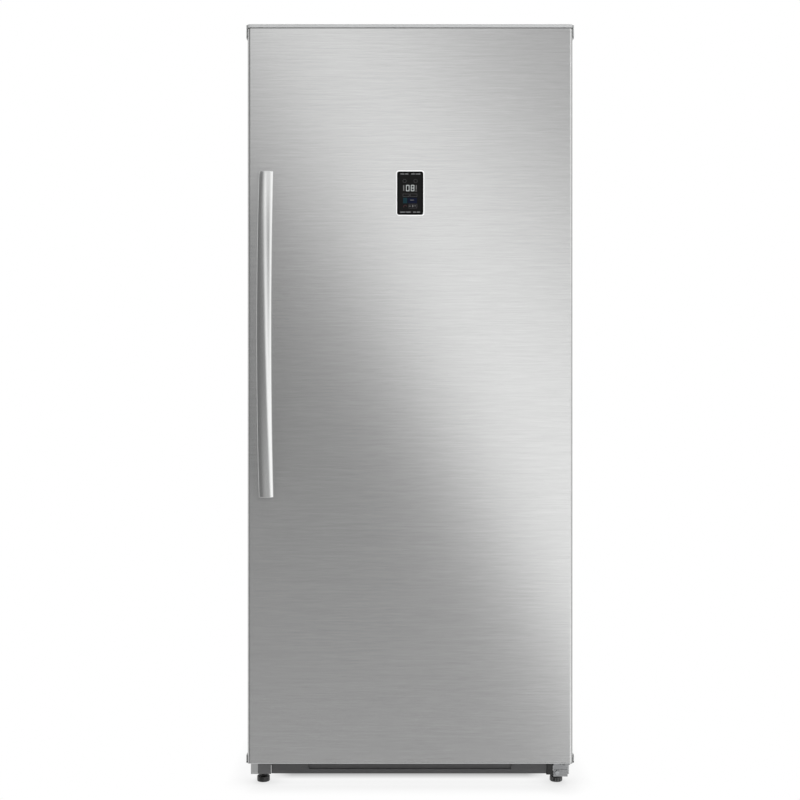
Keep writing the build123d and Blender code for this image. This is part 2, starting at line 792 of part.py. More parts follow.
with BuildPart() as shelf_trims:
    for level in SHELF_LEVELS:
        for edge, inward in ((shelf_front, 1), (shelf_back(level), -1)):
            # A rounded nosing with a slot that holds the glass edge.
            low = level - 4 if inward > 0 else level - 3
            with BuildSketch(Plane.YZ):
                with BuildLine():
                    Polyline(
                        (edge + inward * TRIM_DEPTH, low + 2),
                        (edge + inward * TRIM_DEPTH, level),
                        (edge + inward * MOULDED, level),
                        (edge + inward * MOULDED, level + GLASS),
                        (edge + inward * TRIM_DEPTH, level + GLASS),
                        (edge + inward * TRIM_DEPTH, level + GLASS + MOULDED),
                        (edge + inward * 3, level + GLASS + MOULDED),
                        (edge, level + GLASS - 1),
                        (edge, low + 2),
                        (edge + inward * 2, low),
                        (edge + inward * (TRIM_DEPTH - 2), low),
                        close=True,
                    )
                make_face()
            reach = shelf_half if inward > 0 else cavity_half - LEDGE - SHELF_SIDE_GAP
            extrude(amount=reach, both=True)
write(shelf_trims, "shelf_trims")

# ================================================================== drawers
RIM = 3.0
FRONT_PLATE = 4.0
TUB_CORNER = 12.0
drawer_rim_half = cavity_half - 4
tub_half = cavity_half - RAIL - 8
front_half = cavity_half - RAIL - 2
DRAFT = 1.5
FRONT_DROP, FRONT_RISE = 4.0, 5.0  # front plate below and above the tub
GRIP = (190.0, 24.0)
GRIP_CORNER = 7.0
GRIP_DROP = 26.0

for name, (bottom, height, tub_back) in drawers.items():
    rim_low = bottom + height - RAIL_DROP + RUN
    tub_front = drawer_front + FRONT_PLATE
    tub_middle = (tub_front + tub_back) / 2
    tub_depth = tub_back - tub_front
    with BuildPart() as drawer:
        with BuildSketch(Plane.XY.offset(rim_low + RIM)):
            with Locations((0, tub_middle)):
                eased_box(2 * tub_half, tub_depth, TUB_CORNER)
        extrude(amount=-(rim_low + RIM - bottom), taper=DRAFT)
        with BuildSketch(Plane.XY.offset(rim_low)):
            window(-drawer_rim_half, drawer_rim_half, tub_front, tub_back)
        extrude(amount=RIM)
        with BuildSketch(Plane.XY.offset(rim_low + RIM)):
            with Locations((0, tub_middle)):
                eased_box(
                    2 * (tub_half - MOULDED), tub_depth - 2 * MOULDED, TUB_CORNER - MOULDED
                )
        extrude(amount=-(rim_low + RIM - bottom - MOULDED), taper=DRAFT, mode=Mode.SUBTRACT)
        # Front plate with the slot that a hand pulls it out by.
        with BuildSketch(facing(drawer_front)):
            window(-front_half, front_half, bottom - FRONT_DROP, bottom + height + FRONT_RISE)
        extrude(amount=-FRONT_PLATE)
        with BuildSketch(facing(drawer_front)):
            with Locations((0, bottom + height - GRIP_DROP)):
                eased_box(*GRIP, GRIP_CORNER)
        extrude(amount=-FRONT_PLATE - 2 * MOULDED, mode=Mode.SUBTRACT)
    write(drawer, name)


# ================================================================== compressor compartment
BASE_LEVEL = 40.0
BASE_FLANGE = 35.0
BASE_SETBACK = 15.0
ROLLER_INSET = 58.0
ROLLER_SETBACK = 66.0
ROLLER_RADIUS = 17.0
ROLLER_WIDTH = 18.0
ROLLER_GAP = 1.5  # between a roller and its fork
FORK_WIDTH = 30.0
FORK_LAP = 14.0  # how far a cheek passes the axle and the plate together
AXLE_RADIUS = 3.0
COMPRESSOR_INSET = 42.0
base_front = compartment_front + BASE_SETBACK
base_top = BASE_LEVEL + BRACKET_STEEL
roller_x = cabinet_half - ROLLER_INSET
roller_y = back_outer - ROLLER_SETBACK
compressor_x = suction_x - COMPRESSOR_INSET
COMPRESSOR_RADIUS = 72.0
COMPRESSOR_FOOT = 58.0
SHELL_SEAM = 135.0
SHELL_SHOULDER = 171.0
SHELL_TUCK = 16.0  # slope below the lower shell
DOME = ((28.0, 41.0), (6.0, 75.0))  # rise and slope of each step of the upper shell's dome
STUB_LOW = 175.0
STUB_TOP = 214.0
FOOT_X = 84.0  # mounting foot holes, from the compressor's centre
FOOT_Y = 56.0
FOOT_PLATE = 3.0
FOOT_EDGE = 28.0  # foot plate beyond the holes, both sides together
FOOT_CORNER = 10.0
STUB_WALL = 1.5
SHELL_LAP = 3.0  # the compressor's upper shell laps the lower one
GROMMET_RADIUS = 11.0
compressor_feet = [
    (compressor_x + i * FOOT_X, coil_depth + j * FOOT_Y) for i in (-1, 1) for j in (-1, 1)
]

with BuildPart() as base_plate:
    with BuildSketch(facing(base_front)):
        add(
            folded(
                [
                    (-inside_half, BASE_LEVEL + BASE_FLANGE),
                    (-inside_half, BASE_LEVEL),
                    (inside_half, BASE_LEVEL),
                    (inside_half, BASE_LEVEL + BASE_FLANGE),
                ],
                BRACKET_STEEL,
                Side.LEFT,
            )
        )
    extrude(amount=base_front - back_outer)
    for side in (-1, 1):
        for cheek in (-1, 1):
            # Cheeks of the roller fork, with the hole that the axle turns in.
            inner = side * roller_x + cheek * (ROLLER_WIDTH / 2 + ROLLER_GAP)
            with BuildSketch(Plane.YZ.offset(inner)):
                with Locations((roller_y, (BASE_LEVEL + ROLLER_RADIUS) / 2 + 3)):
                    Rectangle(FORK_WIDTH, BASE_LEVEL - ROLLER_RADIUS + FORK_LAP)
                with Locations((roller_y, ROLLER_RADIUS)):
                    small_hole(AXLE_RADIUS + PIN_FIT)
            extrude(amount=cheek * BRACKET_STEEL)
    # The cheeks end at the plate's upper face.
    block(
        BRACKET_STEEL - inside_half,
        inside_half - BRACKET_STEEL,
        base_front,
        back_outer,
        base_top,
        base_top + BASE_FLANGE,
        Mode.SUBTRACT,
    )
    for x, y in compressor_feet:
        rod((x, y, BASE_LEVEL - 1), (x, y, base_top + 1), BOLT_RADIUS + PIN_FIT, Mode.SUBTRACT)
write(base_plate, "base_plate")

for side, name in ((-1, "roller_left"), (1, "roller_right")):
    with BuildPart() as roller:
        hub = side * roller_x
        with BuildSketch(Plane.YZ.offset(hub - ROLLER_WIDTH / 2)):
            with Locations((roller_y, ROLLER_RADIUS)):
                RegularPolygon(ROLLER_RADIUS, WHEEL_SIDES)
        extrude(amount=ROLLER_WIDTH)
        reach = ROLLER_WIDTH / 2 + ROLLER_GAP + BRACKET_STEEL + 1
        rod(
            (hub - reach, roller_y, ROLLER_RADIUS),
            (hub + reach, roller_y, ROLLER_RADIUS),
            AXLE_RADIUS,
            sides=WHEEL_SIDES,
        )
    write(roller, name)

with BuildPart() as compressor:
    # The pot-shaped lower shell, and the upper shell that laps it and domes in two slopes.
    for low, high, radius in (
        (COMPRESSOR_FOOT + FOOT_PLATE, SHELL_SEAM, COMPRESSOR_RADIUS),
        (SHELL_SEAM, SHELL_SHOULDER, COMPRESSOR_RADIUS + SHELL_LAP),
    ):
        with BuildSketch(Plane.XY.offset(low)):
            with Locations((compressor_x, coil_depth)):
                RegularPolygon(radius, WHEEL_SIDES)
        extrude(amount=high - low)
    chamfer(compressor.faces().sort_by(Axis.Z)[0].edges(), SHELL_TUCK)
    for rise, slope in DOME:
        extrude(compressor.faces().sort_by(Axis.Z)[-1], amount=rise, taper=slope)
    with BuildSketch(Plane.XY.offset(COMPRESSOR_FOOT)):
        with Locations((compressor_x, coil_depth)):
            eased_box(2 * FOOT_X + FOOT_EDGE, 2 * FOOT_Y + FOOT_EDGE, FOOT_CORNER)
        with Locations(*compressor_feet):
            small_hole(BOLT_RADIUS + RUN)
    extrude(amount=FOOT_PLATE)
    # Stubs that the discharge and suction lines are brazed to.
    for x in (2 * compressor_x - suction_x, suction_x):
        rod((x, coil_depth, STUB_LOW), (x, coil_depth, STUB_TOP), PIPE_RADIUS + STUB_WALL)
write(compressor, "compressor")

with BuildPart() as compressor_grommets:
    with BuildSketch(Plane.XY.offset(base_top)):
        with Locations(*compressor_feet):
            RegularPolygon(GROMMET_RADIUS, CORNER_SIDES)
            small_hole(BOLT_RADIUS + RUN)
    extrude(amount=COMPRESSOR_FOOT - base_top)
write(compressor_grommets, "compressor_grommets")

TERMINAL_LEVEL = 102.0
TERMINAL_WIDTH = 64.0
TERMINAL_HEIGHT = 54.0
TERMINAL_REACH = 34.0  # beyond the compressor's shell
with BuildPart() as terminal_cover:
    with BuildSketch(Plane.YZ.offset(compressor_x)):
        with Locations((coil_depth, TERMINAL_LEVEL)):
            Rectangle(TERMINAL_WIDTH, TERMINAL_HEIGHT)
    extrude(amount=-COMPRESSOR_RADIUS - TERMINAL_REACH)
    chamfer(terminal_cover.faces().sort_by(Axis.X)[0].edges(), 4)
    add(compressor.part, mode=Mode.SUBTRACT)
write(terminal_cover, "terminal_cover")

PAN_HEIGHT = 32.0
PAN_CORNER = 12.0
PAN_TAPER = -4.0
PAN_INSET = 78.0
PAN_TO_COMPRESSOR = 160.0
PAN_SETBACK = 32.0
PAN_REAR_GAP = 15.0
pan_left, pan_right = PAN_INSET - cabinet_half, compressor_x - PAN_TO_COMPRESSOR
pan_front, pan_rear = compartment_front + PAN_SETBACK, back_inner - PAN_REAR_GAP
with BuildPart() as drain_pan:
    for wall, mode in ((0, Mode.ADD), (MOULDED, Mode.SUBTRACT)):
        with BuildSketch(Plane.XY.offset(base_top + wall)):
            with Locations(((pan_left + pan_right) / 2, (pan_front + pan_rear) / 2)):
                eased_box(
                    pan_right - pan_left - 2 * wall,
                    pan_rear - pan_front - 2 * wall,
                    PAN_CORNER - wall,
                )
        extrude(amount=PAN_HEIGHT, taper=PAN_TAPER, mode=mode)
write(drain_pan, "drain_pan")

DRYER_RADIUS = 8.0
DRYER_LEVEL = 222.0
DRYER_NECK = 12.0
NECK_SLOPE = 20.0
DRYER_INSET = 23.0
DRYER_LENGTH = 93.0
DISCHARGE_RISE = 16.0
dryer_x = (DRYER_INSET - cabinet_half, DRYER_INSET + DRYER_LENGTH - cabinet_half)
PIPE_BEND = 10.0
CROSS_LEVEL = 236.0
discharge_x = 2 * compressor_x - suction_x
tail_rear_right = wall_tube_tails[1][0]

with BuildPart() as refrigerant_pipes:
    # Discharge: compressor to the right wall loop.
    tube(
        [
            (discharge_x, coil_depth, STUB_TOP),
            (discharge_x, coil_depth, STUB_TOP + DISCHARGE_RISE),
            (discharge_x, tail_rear_right, STUB_TOP + DISCHARGE_RISE),
            (wall_tube_x, tail_rear_right, STUB_TOP + DISCHARGE_RISE),
            (wall_tube_x, tail_rear_right, tail_level),
        ],
        PIPE_BEND - 2,
        PIPE_RADIUS,
    )
    # Crossover between the two wall loops.
    tube(
        [
            (wall_tube_x, tail_front, tail_level),
            (wall_tube_x, tail_front, CROSS_LEVEL),
            (-wall_tube_x, tail_front, CROSS_LEVEL),
            (-wall_tube_x, tail_front, tail_level),
        ],
        PIPE_BEND,
        PIPE_RADIUS,
    )
    # Left wall loop to the filter dryer.
    tube(
        [
            (-wall_tube_x, coil_depth, tail_level),
            (-wall_tube_x, coil_depth, DRYER_LEVEL),
            (dryer_x[0], coil_depth, DRYER_LEVEL),
        ],
        PIPE_BEND,
        PIPE_RADIUS,
    )
    # Filter dryer, necked at both ends.
    dryer_start, dryer_end = dryer_x[0] + DRYER_NECK, dryer_x[1] - DRYER_NECK
    rod(
        (dryer_start, coil_depth, DRYER_LEVEL),
        (dryer_end, coil_depth, DRYER_LEVEL),
        DRYER_RADIUS,
    )
    for end, way in ((dryer_start, -1), (dryer_end, 1)):
        with BuildSketch(Plane((end, coil_depth, DRYER_LEVEL), z_dir=(way, 0, 0))):
            RegularPolygon(DRYER_RADIUS, TUBE_SIDES)
        extrude(amount=DRYER_NECK, taper=NECK_SLOPE)
    # Capillary line from the dryer to the coil, and the suction line back.
    tube(
        [
            (dryer_x[1], coil_depth, DRYER_LEVEL),
            (capillary_x, coil_depth, DRYER_LEVEL),
            (capillary_x, coil_depth, coil_rows[0]),
            (capillary_x + LEAD_LENGTH, coil_depth, coil_rows[0]),
        ],
        PIPE_BEND,
        PIPE_RADIUS,
    )
    tube(
        [
            (suction_x - LEAD_LENGTH, coil_depth, coil_rows[-1]),
            (suction_x, coil_depth, coil_rows[-1]),
            (suction_x, coil_depth, STUB_TOP),
        ],
        PIPE_BEND,
        PIPE_RADIUS,
    )
write(refrigerant_pipes, "refrigerant_pipes")

COVER_LOW = 44.0
COVER_HIGH = 247.0
COVER_THICKNESS = 1.2
COVER_INSET = 3.0
CORD_INSET = 78.0
CORD_LEVEL = 96.0
GLAND_RADIUS = 12.0
GLAND_BORE = 4.5
GLAND_DEPTH = 6.0
GLAND_FLANGE = (34.0, 28.0)
GLAND_CORNER = 5.0
VENT = (118.0, 10.0)
VENT_PITCH = (140.0, 30.0)
VENT_SHIFT = 60.0  # the vents' middle towards the compressor
SCREW_LENGTH = 6.0
cover_half = cabinet_half - COVER_INSET
cord_x = CORD_INSET - cabinet_half

with BuildPart() as rear_cover:
    with BuildSketch(facing(rear_lap)):
        window(-cover_half, cover_half, COVER_LOW, COVER_HIGH)
        with Locations(*cover_screws_at):
            small_hole(SCREW_RADIUS + RUN)
        with Locations((cord_x, CORD_LEVEL)):
            RegularPolygon(GLAND_RADIUS, BOSS_SIDES, mode=Mode.SUBTRACT)
        # Ventilation slots in front of the compressor and across the middle.
        with Locations((VENT_SHIFT, (COVER_LOW + COVER_HIGH) / 2)):
            with GridLocations(*VENT_PITCH, 4, 4):
                Rectangle(*VENT, mode=Mode.SUBTRACT)
    extrude(amount=-COVER_THICKNESS)
write(rear_cover, "rear_cover")

with BuildPart() as cord_gland:
    cover_back = rear_lap + COVER_THICKNESS
    with BuildSketch(facing(rear_lap - GLAND_DEPTH)):
        with Locations((cord_x, CORD_LEVEL)):
            RegularPolygon(GLAND_RADIUS - PIN_FIT, BOSS_SIDES)
    extrude(amount=-GLAND_DEPTH - COVER_THICKNESS)
    with BuildSketch(facing(cover_back)):
        with Locations((cord_x, CORD_LEVEL)):
            eased_box(*GLAND_FLANGE, GLAND_CORNER)
    extrude(amount=-2)
    rod(
        (cord_x, rear_lap - GLAND_DEPTH - 1, CORD_LEVEL),
        (cord_x, cover_back + 3, CORD_LEVEL),
        GLAND_BORE,
        Mode.SUBTRACT,
    )
write(cord_gland, "cord_gland")

with BuildPart() as cover_screws:
    for x, level in cover_screws_at:
        rod((x, rear_lap - SCREW_LENGTH, level), (x, cover_back, level), SCREW_RADIUS)
        with BuildSketch(facing(cover_back), mode=Mode.PRIVATE) as head:
            with Locations((x, level)):
                RegularPolygon(SCREW_HEAD, 6)
        extrude(head.sketch, amount=-3)
write(cover_screws, "cover_screws")

# ================================================================== front of the base
RAIL_SETBACK = 6.0  # kick rail behind the cabinet's front
RAIL_INSETS = (52.0, 58.2)  # kick rail's ends to the cabinet's left and right sides
RAIL_SHEET = 1.5
RAIL_LIPS = (22.0, 14.0)  # depth of its upper and lower folds
RECESS_INSET = 149.0
rail_ends = (RAIL_INSETS[0] - cabinet_half, cabinet_half - RAIL_INSETS[1])
recess_half = cabinet_half - RECESS_INSET
RECESS_LOW = 40.5
RECESS_HIGH = 68.0
RECESS_SLANT = 9.0
RECESS_DEPTH = 5.0
rail_face = cabinet_front + RAIL_SETBACK


def recess_outline(margin):
    """Outline of the kick rail's recess, wider at the top, grown by a margin."""
    with BuildSketch(mode=Mode.PRIVATE) as outline:
        with BuildLine():
            Polyline(
                (-recess_half - margin, RECESS_LOW - margin),
                (recess_half + margin, RECESS_LOW - margin),
                (recess_half + RECESS_SLANT + margin, RECESS_HIGH + margin),
                (-recess_half - RECESS_SLANT - margin, RECESS_HIGH + margin),
                close=True,
            )
        make_face()
    return outline.sketch


with BuildPart() as kick_rail:
    with BuildSketch(Plane.YZ.offset(rail_ends[0])):
        add(
            folded(
                [
                    (rail_face + RAIL_LIPS[0], PAN_LEVEL - RUN),
                    (rail_face, PAN_LEVEL - RUN),
                    (rail_face, CABINET_BOTTOM),
                    (rail_face + RAIL_LIPS[1], CABINET_BOTTOM),
                ],
                RAIL_SHEET,
                Side.LEFT,
            )
        )
    extrude(amount=rail_ends[1] - rail_ends[0])
    with BuildSketch(facing(rail_face + RAIL_SHEET)):
        add(recess_outline(RAIL_SHEET))
    extrude(amount=-RECESS_DEPTH)
    with BuildSketch(facing(rail_face)):
        add(recess_outline(0))
    extrude(amount=-RECESS_DEPTH, mode=Mode.SUBTRACT)
write(kick_rail, "kick_rail")

BRACKET_INSETS = (40.0, 4.0)  # hinge bracket's edges to the cabinet's right side
END_BLOCK = (27.0, 74.0)
END_BLOCK_DEPTH = 22.0
END_BLOCK_BEND = 3.0
bracket_left, bracket_right = (cabinet_half - inset for inset in BRACKET_INSETS)
with BuildPart() as rail_end_block:
    with BuildSketch(facing(cabinet_front + 2)):
        window(rail_ends[1] + RUN, bracket_left - RUN, *END_BLOCK)
    extrude(amount=-END_BLOCK_DEPTH)
    fillet(rail_end_block.edges().filter_by(Axis.Z).group_by(Axis.Y)[0], END_BLOCK_BEND)
write(rail_end_block, "rail_end_block")

FOOT_INSET = 28.0
FOOT_SETBACK = 42.0
FOOT_RADIUS = 16.5
FOOT_BASE = 14.0
STUD_RADIUS = 5.0
NUT_LEVEL = 50.0
NUT_THICKNESS = 4.0
FOOT_BRACKET_LAP = 24.0  # bracket behind the foot's centre
FOOT_SIDES = 18
FOOT_BEVEL = 2.0
WRENCH_HEIGHT = 10.0
WRENCH_SIZE = 9.0  # from the stud's centre to a corner of the hexagon
STUD_GAP = 6.0  # stud's end below the floor pan
BOLT_INSET = 9.0
foot_x = cabinet_half - FOOT_INSET
foot_bracket_edges = {-1: -rail_ends[0] + RUN, 1: bracket_left}  # inner edge, by side
foot_y = cabinet_front + FOOT_SETBACK
foot_brackets_rear = foot_y + FOOT_BRACKET_LAP
HINGE_BOLT_LEVELS = (34.0, 61.0)
hinge_bolts_at = [(bracket_left + BOLT_INSET, level) for level in HINGE_BOLT_LEVELS]

with BuildPart() as foot_brackets:
    for side in (-1, 1):
        outer = side * inside_half
        back = cabinet_front + SHEET
        # Top plate under the floor pan, front flange and the plate that the foot screws into.
        with BuildSketch(Plane.YZ.offset(outer)):
            window(back, foot_brackets_rear, PAN_LEVEL - BRACKET_STEEL, PAN_LEVEL)
            window(back, back + BRACKET_STEEL, CABINET_BOTTOM, PAN_LEVEL)
            window(back, foot_brackets_rear, NUT_LEVEL, NUT_LEVEL + NUT_THICKNESS)
        extrude(amount=-side * (inside_half - foot_bracket_edges[side]))
        rod(
            (side * foot_x, foot_y, NUT_LEVEL - 1),
            (side * foot_x, foot_y, NUT_LEVEL + NUT_THICKNESS + 1),
            STUD_RADIUS + PIN_FIT,
            Mode.SUBTRACT,
        )
    for x, level in hinge_bolts_at:
        rod((x, back - 1, level), (x, back + 3, level), BOLT_HOLE, Mode.SUBTRACT)
write(foot_brackets, "foot_brackets")

for side, name in ((-1, "foot_left"), (1, "foot_right")):
    with BuildPart() as foot:
        # A many-sided base to turn the foot by, a hexagon for a wrench, and the stud.
        for low, high, radius, sides in (
            (0, FOOT_BASE, FOOT_RADIUS, FOOT_SIDES),
            (FOOT_BASE, FOOT_BASE + WRENCH_HEIGHT, WRENCH_SIZE, 6),
        ):
            with BuildSketch(Plane.XY.offset(low)):
                with Locations((side * foot_x, foot_y)):
                    RegularPolygon(radius, sides)
            extrude(amount=high - low)
        chamfer(foot.faces().sort_by(Axis.Z)[0].edges(), FOOT_BEVEL)
        rod(
            (side * foot_x, foot_y, FOOT_BASE),
            (side * foot_x, foot_y, PAN_LEVEL - STUD_GAP),
            STUD_RADIUS,
            sides=WHEEL_SIDES,
        )
    write(foot, name)


# ================================================================== hinges
HINGE_STEEL = 3.5
HINGE_NOSE = 13.0  # radius of the hinge arms round their pins
HINGE_PLATE = (60.0, 84.0)  # width and depth of the plate on the cabinet's top
COVER_GAP = 1.6
COVER_WALL = 1.5
COVER_RISE = 9.0
COVER_BEVEL = 2.0
PIN_DEPTH = 22.0
PIN_HEAD = 2.0
PLATE_INSET = 6.0
COVER_OVERHANG = 5.0  # the cover stays inside the cabinet's side
plate_right = cabinet_half - PLATE_INSET
plate_back = cabinet_front + HINGE_PLATE[1]


def hinge_outline(growth):
    """Outline of the top hinge, a plate that narrows to a round nose over the pin."""
    with BuildSketch(mode=Mode.PRIVATE) as outline:
        window(
            plate_right - HINGE_PLATE[0] - growth,
            plate_right + min(growth, COVER_OVERHANG),
            cabinet_front - growth,
            plate_back + growth,
        )
        with Locations((hinge_x, hinge_y)):
            RegularPolygon(HINGE_NOSE + growth, BOSS_SIDES)
        make_hull()
    return outline.sketch


with BuildPart() as top_hinge_plate:
    with BuildSketch(Plane.XY.offset(cabinet_top)):
        add(hinge_outline(0))
        with Locations(*top_bolts):
            small_hole(BOLT_HOLE)
    extrude(amount=HINGE_STEEL)
    rod(
        (hinge_x, hinge_y, DOOR_TOP - PIN_DEPTH),
        (hinge_x, hinge_y, cabinet_top + 1),
        PIN_RADIUS,
        sides=ROUND,
    )
    rod(
        (hinge_x, hinge_y, cabinet_top + HINGE_STEEL),
        (hinge_x, hinge_y, cabinet_top + HINGE_STEEL + PIN_HEAD),
        PIN_RADIUS + PIN_HEAD,
    )
write(top_hinge_plate, "top_hinge_plate")

with BuildPart() as hinge_cover:
    with BuildSketch(Plane.XY.offset(cabinet_top)):
        add(hinge_outline(COVER_GAP + COVER_WALL))
    extrude(amount=COVER_RISE)
    chamfer(hinge_cover.edges().group_by(Axis.Z)[-1], COVER_BEVEL)
    with BuildSketch(Plane.XY.offset(cabinet_top)):
        add(hinge_outline(COVER_GAP))
    extrude(amount=COVER_RISE - COVER_WALL, mode=Mode.SUBTRACT)
write(hinge_cover, "hinge_cover")

BRACKET_LEVEL = 68.0
BRACKET_THICKNESS = 4.0
BRACKET_BOTTOM = 24.0
THRUST_RADIUS = 10.0
GROOVE = (41.5, 43.5)
GROOVE_DEPTH = 1.5
with BuildPart() as bottom_hinge_bracket:
    with BuildSketch(Plane.XY.offset(BRACKET_LEVEL)):
        window(bracket_left, bracket_right, cabinet_front - 20, cabinet_front)
        with Locations((hinge_x, hinge_y)):
            RegularPolygon(HINGE_NOSE, BOSS_SIDES)
        make_hull()
    extrude(amount=BRACKET_THICKNESS)
    with BuildSketch(facing(cabinet_front)):
        window(bracket_left, bracket_right, BRACKET_BOTTOM, BRACKET_LEVEL + BRACKET_THICKNESS)
        with Locations(*hinge_bolts_at):
            small_hole(BOLT_HOLE)
    extrude(amount=BRACKET_THICKNESS)
    # Pressed groove between the hinge's own leg and the levelling leg's pad.
    with BuildSketch(facing(cabinet_front - BRACKET_THICKNESS)):
        window(bracket_left - 1, bracket_right + 1, *GROOVE)
    extrude(amount=-GROOVE_DEPTH, mode=Mode.SUBTRACT)
    # The thrust collar that carries the door, and the pin.
    for top, radius, sides in (
        (DOOR_BOTTOM - RUN, THRUST_RADIUS, BOSS_SIDES),
        (DOOR_BOTTOM + PIN_DEPTH - 2, PIN_RADIUS, ROUND),
    ):
        rod((hinge_x, hinge_y, BRACKET_LEVEL), (hinge_x, hinge_y, top), radius, sides=sides)
write(bottom_hinge_bracket, "bottom_hinge_bracket")

BOLT_HEAD = 5.0  # half the hexagon's width across its flats
BOLT_HEAD_HEIGHT = 3.4
BOLT_SIDES = 6
TOP_BOLT_LENGTH = 13.0
BRACKET_BOLT_LENGTH = 12.0
hinge_top = cabinet_top + HINGE_STEEL
foot_top = COMPRESSOR_FOOT + FOOT_PLATE
bolt_faces = [(Plane((x, y, hinge_top), z_dir=(0, 0, 1)), TOP_BOLT_LENGTH) for x, y in top_bolts]
bolt_faces += [
    (Plane((x, cabinet_front - BRACKET_THICKNESS, level), z_dir=(0, -1, 0)), BRACKET_BOLT_LENGTH)
    for x, level in hinge_bolts_at
]
bolt_faces += [
    (Plane((x, y, foot_top), z_dir=(0, 0, 1)), foot_top - BASE_LEVEL) for x, y in compressor_feet
]
with BuildPart() as hex_bolts:
    for seat, length in bolt_faces:
        with BuildSketch(seat, mode=Mode.PRIVATE) as head:
            RegularPolygon(BOLT_HEAD, BOLT_SIDES, major_radius=False)
        extrude(head.sketch, amount=BOLT_HEAD_HEIGHT)
        with BuildSketch(seat, mode=Mode.PRIVATE) as shank:
            RegularPolygon(BOLT_RADIUS, BOLT_SIDES)
        extrude(shank.sketch, amount=-length)
write(hex_bolts, "hex_bolts")


# ================================================================== door
SKIN_TOP_GAP = 10.0  # the skin ends this far below the door's top
SKIN_BOTTOM_GAP = 2.5
SKIN_BEND = 8.0
SKIN_RETURN = 12.0
LID = 8.4  # visible height of the top cap
LIP = 2.2  # visible height of the bottom cap
CAP_SKIRT = 22.0
CAP_FLOOR = 6.5
TOP_EAR = 33.0
BOTTOM_EAR = 20.0
EAR_CORNER = 4.0
EAR_SETBACK = 5.0  # ears behind the door's front
HEM_BEND = 1.5  # outer radius of the skin's rear folds
BUSH_RADIUS = 9.0
BUSH_SIDES = 6  # the bush is keyed, so that it can't turn in the cap
skin_top = DOOR_TOP - SKIN_TOP_GAP
skin_bottom = DOOR_BOTTOM + SKIN_BOTTOM_GAP
foam_low = DOOR_BOTTOM + CAP_FLOOR
foam_high = DOOR_TOP - LID
skin_inner_half = door_half - SHEET
skin_inner_front = door_front + SHEET
liner_rear = liner_face - LINER  # hidden face of the door liner's flat part

handle_rise = HANDLE_REACH - HANDLE_END_REACH
handle_radius = ((HANDLE_LENGTH / 2) ** 2 + handle_rise**2) / (2 * handle_rise)
handle_sweep = asin(HANDLE_LENGTH / 2 / handle_radius)
handle_x = -door_half + HANDLE_INSET
handle_axis_y = door_front - HANDLE_REACH + handle_radius
MOUNT_INSET = 28.0  # handle mounts, from the handle's ends
MOUNT_STUD = 4.0
STUD_LENGTH = 19.0  # behind the door's front
mount_levels = [
    HANDLE_MIDDLE + end * (HANDLE_LENGTH / 2 - MOUNT_INSET) for end in (-1, 1)
]

BEZEL_RING = 2.8
BEZEL_PROUD = 1.2
BEZEL_SKIRT = 1.2
BEZEL_CORNER = 5.0


def panel_face(margin):
    """Outline of the control panel's glass with eased corners, grown by a margin."""
    corner = BEZEL_CORNER + max(margin, 0)
    with BuildSketch(mode=Mode.PRIVATE) as outline:
        with Locations((0, PANEL_MIDDLE)):
            with GridLocations(
                PANEL_WIDTH + 2 * (margin - corner), PANEL_HEIGHT + 2 * (margin - corner), 2, 2
            ):
                RegularPolygon(corner, CORNER_SIDES)
        make_hull()
    return outline.sketch


def door_plan(inset, rear, corner, ease=fillet):
    """Plan of the door: a rectangle with eased front corners, set in from the skin."""
    with BuildSketch(mode=Mode.PRIVATE) as plan:
        window(inset - door_half, door_half - inset, door_front + inset, rear)
        ease(plan.vertices().group_by(Axis.Y)[0], corner)
    return plan.sketch


def skirt_plan(wall):
    """Plan of the caps' skirts, which plug into the skin, set in by their wall."""
    inset = SHEET + RUN + wall
    return door_plan(inset, liner_rear - RUN - wall, SKIN_BEND - SHEET - 0.6 * wall, chamfer)


def bush_seat(low, high, growth):
    """Cuts the keyed seat of a hinge bush out of the part being built."""
    with BuildSketch(Plane.XY.offset(low), mode=Mode.PRIVATE) as seat:
        with Locations((hinge_x, hinge_y)):
            RegularPolygon(BUSH_RADIUS + growth, BUSH_SIDES)
    extrude(seat.sketch, amount=high - low, mode=Mode.SUBTRACT)


with BuildPart() as door_skin:
    with BuildSketch(Plane.XY.offset(skin_bottom)):
        with BuildLine():
            FilletPolyline(
                (SKIN_RETURN - door_half, door_back),
                (-door_half, door_back),
                (-door_half, door_front),
                (door_half, door_front),
                (door_half, door_back),
                (door_half - SKIN_RETURN, door_back),
                radius=[HEM_BEND, SKIN_BEND, SKIN_BEND, HEM_BEND],
            )
            offset(amount=SHEET, side=Side.LEFT)
        make_face()
    extrude(amount=skin_top - skin_bottom)
    with BuildSketch(facing(door_front)):
        add(panel_face(BEZEL_SKIRT + RUN))
        with Locations(*[(handle_x, level) for level in mount_levels]):
            small_hole(MOUNT_STUD + RUN, Mode.ADD)
    extrude(amount=-2 * SHEET, mode=Mode.SUBTRACT)
write(door_skin, "door_skin")

